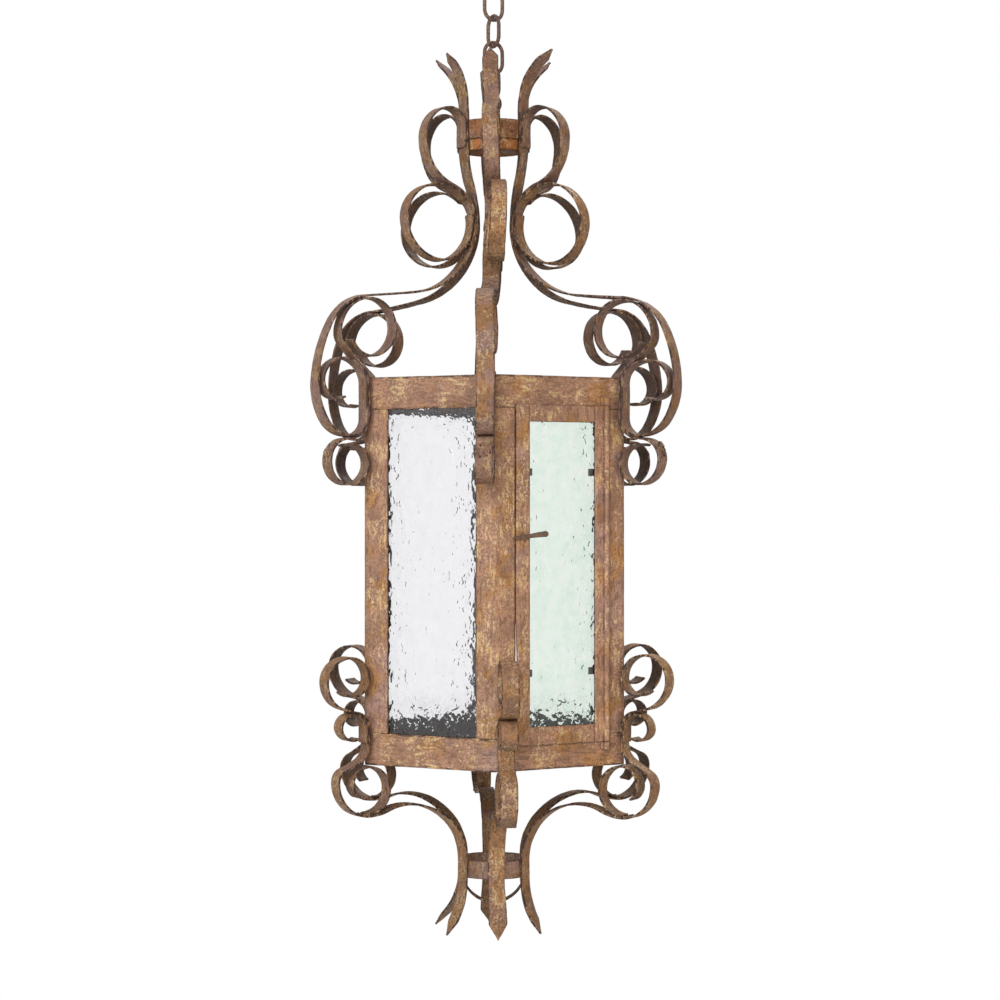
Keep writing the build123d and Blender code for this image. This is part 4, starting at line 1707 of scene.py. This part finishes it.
class LANTERN_OT_door(Operator):
    """The door's frame with its rolled edge, and its pivots"""

    bl_idname = "lantern.door"
    bl_label = "Door"

    stile = 0.018
    top_rail = 0.019
    bottom_rail = 0.0205
    barrel_r = 0.0036
    gap = 0.0008                    # beside the post, more than the bare clearance
    wedge = 0.0016                  # and more again near the foot
    wedge_from = 0.62               # which starts this far down the door
    wedge_run = 0.14                # and is full after this much more
    dents = 60.0                    # how close they are
    shallow = 0.6                   # share of their usual depth
    longer = 1.3                    # faces up the frame are this many times as long as others

    def execute(self, context):
        iron = settings("iron")
        low, high = local_box("door_frame", DOOR)
        out = low.x + iron.sheet_thick / 2
        shape = Shape()
        self.strip(shape, ((low.y, out), (low.y + self.stile, out)), low.z, high.z)
        self.set_back(shape.points[-1], low, high)
        self.strip(shape, [(high.y - self.stile, out)] + self.roll(high.y, out), low.z, high.z)
        across = ((low.y + self.stile, out), (high.y - self.stile, out))
        self.strip(shape, across, high.z - self.top_rail, high.z)
        self.strip(shape, across, low.z, low.z + self.bottom_rail)
        forged("bent_door_frame", shape, "sheet_iron", "door", ["door_frame"],
               dent=iron.dent * self.shallow, scale=self.dents)
        worn_copy("pivot_sockets", "lantern", "sheet_iron")
        worn_copy("door_pivot_pins", "door", "sheet_iron")
        return {"FINISHED"}

    def roll(self, edge, out):
        """The (across, out) points of the edge that is rolled round the pins."""
        pin = edge - self.barrel_r
        radius = self.barrel_r - settings("iron").sheet_thick / 2
        turns = [radians(turn) for turn in range(0, 301, 30)]
        return [(pin + radius * sin(turn), out + radius * (1 - cos(turn))) for turn in turns]

    def set_back(self, points, low, high):
        """Moves the left stile's edge away from the post, more near the foot."""
        level = np.array(facing(DOOR)[1])
        down = (high.z - points[:, 2]) / (high.z - low.z)
        from_edge = (points @ level - low.y) / self.stile
        back = self.gap + self.wedge * np.clip((down - self.wedge_from) / self.wedge_run, 0, 1)
        points += (back * (1 - from_edge))[:, None] * level

    def strip(self, shape, line, low, high):
        """A strip of the frame along (across, out) points, between two heights. Its inner side gets soot
        and painted shade, but the roll has none.
        """
        iron = settings("iron")
        flat = 0.0002               # what stands out further is the roll
        out, across = facing(DOOR)
        profile = flat_bar(high - low, iron.sheet_thick, iron.worn, iron.spacing * self.longer)
        even = smooth(line, iron.spacing)
        # The inner side is darkened with soot and painted shade, all but the roll
        soot_and_shade = np.where(even[:, 1] > even[0, 1] + flat, 0.0, -1.0)
        shape.sweep(even, profile, ((0, 0, (low + high) / 2), across, UP, out), soot_and_shade=soot_and_shade)


class LANTERN_OT_latch(Operator):
    """Latch lever, its pin and its tongue"""

    bl_idname = "lantern.latch"
    bl_label = "Latch"

    worn = 0.0004
    tilt = radians(7)               # the lever hangs a little askew
    thick = 0.002
    lever_worn = 0.0006
    spacing = 0.0008
    face = 0.0012                   # width of one face across the lever
    short = 0.001                   # the lever stops this far short of the solid's end
    bend_run = 1.6                  # its end bends out over this many times its rise
    midway = 0.4                    # share of the rise at the middle of that bend
    tail = 0.5                      # share of its width at its tail
    swell = 1.5                     # above 1, it widens more towards its end
    blunt = 0.02                    # squared share of its width at its round end
    dents = 160.0                   # how close they are
    shallow = 0.5                   # share of their usual depth

    def execute(self, context):
        for node in ("latch_pin", "latch_tongue"):
            worn_copy(node, "latch", "latch_iron", self.worn)
        self.lever()
        return {"FINISHED"}

    def lever(self):
        """A forged lever, thin at its tail and flattened at its round end."""
        low, high = local_box("latch_handle", DOOR)
        pin = [sum(ends) / 2 for ends in zip(*local_box("latch_pin", DOOR))]
        out, level = (Vector(way) for way in facing(DOOR))
        along = level * cos(self.tilt) + Vector(UP) * sin(self.tilt)
        across = Vector(UP) * cos(self.tilt) - level * sin(self.tilt)
        rise = high.x - low.x
        flat = low.x + self.thick / 2
        bend = high.y - rise * self.bend_run
        line = smooth((
            (low.y - pin[1], flat),
            (0.0, flat),
            (bend - pin[1], flat),
            ((bend + high.y) / 2 - pin[1], low.x + rise * self.midway),
            (high.y - self.short - pin[1], high.x - self.thick / 2),
        ), self.spacing)
        width = high.z - low.z
        narrow = self.tail + (1 - self.tail) * np.linspace(0, 1, len(line)) ** self.swell
        left = np.linalg.norm(line - line[-1], axis=1)
        narrow *= np.sqrt(np.clip(1 - (1 - np.clip(left / width * 2, 0, 1)) ** 2, self.blunt, 1))
        profile = flat_bar(width, self.thick, self.lever_worn, self.face)
        axes = (level * pin[1] + Vector((0, 0, pin[2])), along, across, out)
        shape = Shape().sweep(line, profile, axes, narrow=narrow)
        forged("forged_latch_handle", shape, "latch_iron", "latch", ["latch_handle"],
               dent=settings("iron").dent * self.shallow, scale=self.dents)


# Stage

WHITE = (1.0, 1.0, 1.0)
WARM = (1.0, 0.82, 0.6)
FLOOR_WHITE = (0.7, 0.7, 0.7, 1)


def plainly_seen(n):
    """1 for rays that reach the eye straight, through glass or off a shine, without a matt bounce."""
    ray = n.add("ShaderNodeLightPath").outputs
    shiny = n.math("MAXIMUM", ray["Is Glossy Ray"], ray["Is Transmission Ray"])
    straight = n.math("MAXIMUM", ray["Is Camera Ray"], shiny)
    return n.math("MULTIPLY", straight, n.math("LESS_THAN", ray["Diffuse Depth"], 0.5))


def plain_material(name, color):
    """A matt colour that the camera sees as plain white, also in or through glass."""
    material, n = bare_material(name)
    matt = n.add("ShaderNodeBsdfDiffuse", {"Color": color})
    white = n.add("ShaderNodeEmission", {"Color": (*WHITE, 1), "Strength": 1.0})
    mix = n.add("ShaderNodeMixShader", {0: plainly_seen(n), 1: matt.outputs[0], 2: white.outputs[0]})
    n.add("ShaderNodeOutputMaterial", {"Surface": mix.outputs[0]})
    return material


class LANTERN_OT_stage(Operator):
    """Floor, studio light and camera"""

    bl_idname = "lantern.stage"
    bl_label = "Stage"

    reach = 14.0                    # of the floor, from the axis
    front_lamp = 2.4                # widths of the lamps
    rear_lamp = 2.0

    def execute(self, context):
        stage = settings("stage")
        context.scene.view_settings.view_transform = "Standard"
        self.floor(cad_box[0].z - stage.drop)
        self.world(context.scene, stage.glow)
        self.lamp("key", (-1.2, -3.0, 0.4), self.front_lamp, stage.key, WHITE)
        self.lamp("fill", (1.7, -2.8, 0.2), self.front_lamp, stage.fill, WARM)
        self.lamp("top", (0.0, 0.4, 2.2), self.rear_lamp, stage.top, WHITE)
        self.lamp("back", (0.8, 3.2, 2.0), self.rear_lamp, stage.back, WHITE)
        self.camera(context.scene, stage)
        return {"FINISHED"}

    def floor(self, height):
        """A level floor far below the lantern."""
        signs = ((-1, -1), (1, -1), (1, 1), (-1, 1))
        corners = [(x * self.reach, y * self.reach, height) for x, y in signs]
        mesh = bpy.data.meshes.new("studio_floor")
        mesh.from_pydata(corners, [], [(0, 1, 2, 3)])
        mesh.materials.append(plain_material("studio_white", FLOOR_WHITE))
        new_piece("studio_floor", mesh)

    def world(self, scene, glow):
        """Weak light from all round, which the camera sees as plain white."""
        world = bpy.data.worlds.new("studio")
        world.use_nodes = True
        world.node_tree.nodes.clear()
        n = Nodes(world.node_tree)
        soft = n.add("ShaderNodeBackground", {"Color": (*WHITE, 1), "Strength": glow})
        white = n.add("ShaderNodeBackground", {"Color": (*WHITE, 1), "Strength": 1.0})
        mix = n.add("ShaderNodeMixShader", {0: plainly_seen(n), 1: soft.outputs[0], 2: white.outputs[0]})
        n.add("ShaderNodeOutputWorld", {"Surface": mix.outputs[0]})
        scene.world = world

    def lamp(self, name, place, size, power, color):
        """A square lamp that faces the body's middle and isn't seen itself."""
        lamp = bpy.data.lights.new("studio_" + name, "AREA")
        lamp.size = size
        lamp.energy = power
        lamp.color = color
        holder = new_piece("studio_" + name, lamp)
        holder.location = place
        target = Vector((0, 0, BODY_MIDDLE))
        holder.rotation_euler = (target - Vector(place)).to_track_quat("-Z", "Y").to_euler()
        holder.visible_camera = False
        holder.visible_transmission = False

    def camera(self, scene, stage):
        """A level camera in front of the lantern."""
        camera = bpy.data.cameras.new("viewer")
        camera.lens = stage.lens
        camera.sensor_width = 36.0
        camera.sensor_fit = "HORIZONTAL"
        holder = new_piece("viewer", camera)
        turn = -stage.turn
        right = Vector((cos(turn), sin(turn), 0))
        ahead = Vector((-sin(turn), cos(turn), 0))
        place = right * stage.aside - ahead * stage.distance
        holder.location = (place.x, place.y, BODY_MIDDLE + stage.rise)
        holder.rotation_euler = (radians(90), 0, turn)
        scene.camera = holder


class LANTERN_PT_panel(Panel):
    """Lists the lantern's pieces"""

    bl_label = "Lantern"
    bl_space_type = "VIEW_3D"
    bl_region_type = "UI"
    bl_category = "Lantern"

    def draw(self, context):
        """A button for each piece, then the settings."""
        for kind in OPERATORS:
            self.layout.operator(kind.bl_idname)
        for key in GROUPS:
            box = self.layout.box()
            group = settings(key)
            for name in group.__annotations__:
                box.prop(group, name)


GROUPS = {
    "iron": IronSettings,
    "chain": ChainSettings,
    "glass": GlassSettings,
    "rust": RustSettings,
    "stage": StageSettings,
}
OPERATORS = (
    LANTERN_OT_chain,
    LANTERN_OT_collar,
    LANTERN_OT_upper_bars,
    LANTERN_OT_collar_scrolls,
    LANTERN_OT_neck_rings,
    LANTERN_OT_shoulder_scrolls,
    LANTERN_OT_lower_bars,
    LANTERN_OT_small_curls,
    LANTERN_OT_lower_ring,
    LANTERN_OT_body,
    LANTERN_OT_floor,
    LANTERN_OT_panes,
    LANTERN_OT_door,
    LANTERN_OT_door_glass,
    LANTERN_OT_latch,
    LANTERN_OT_stage,
)


def register():
    """Adds the lantern's settings, operators and panel."""
    for kind in (*GROUPS.values(), *OPERATORS, LANTERN_PT_panel):
        bpy.utils.register_class(kind)
    for key, kind in GROUPS.items():
        setattr(bpy.types.Scene, "lantern_" + key, PointerProperty(type=kind))


def unregister():
    """Takes them away again."""
    for key in GROUPS:
        delattr(bpy.types.Scene, "lantern_" + key)
    for kind in reversed((*GROUPS.values(), *OPERATORS, LANTERN_PT_panel)):
        bpy.utils.unregister_class(kind)


def main():
    """Makes all the pieces and the stage."""
    register()
    for kind in OPERATORS:
        group, name = kind.bl_idname.split(".")
        getattr(getattr(bpy.ops, group), name)()


if __name__ == "__main__":
    main()
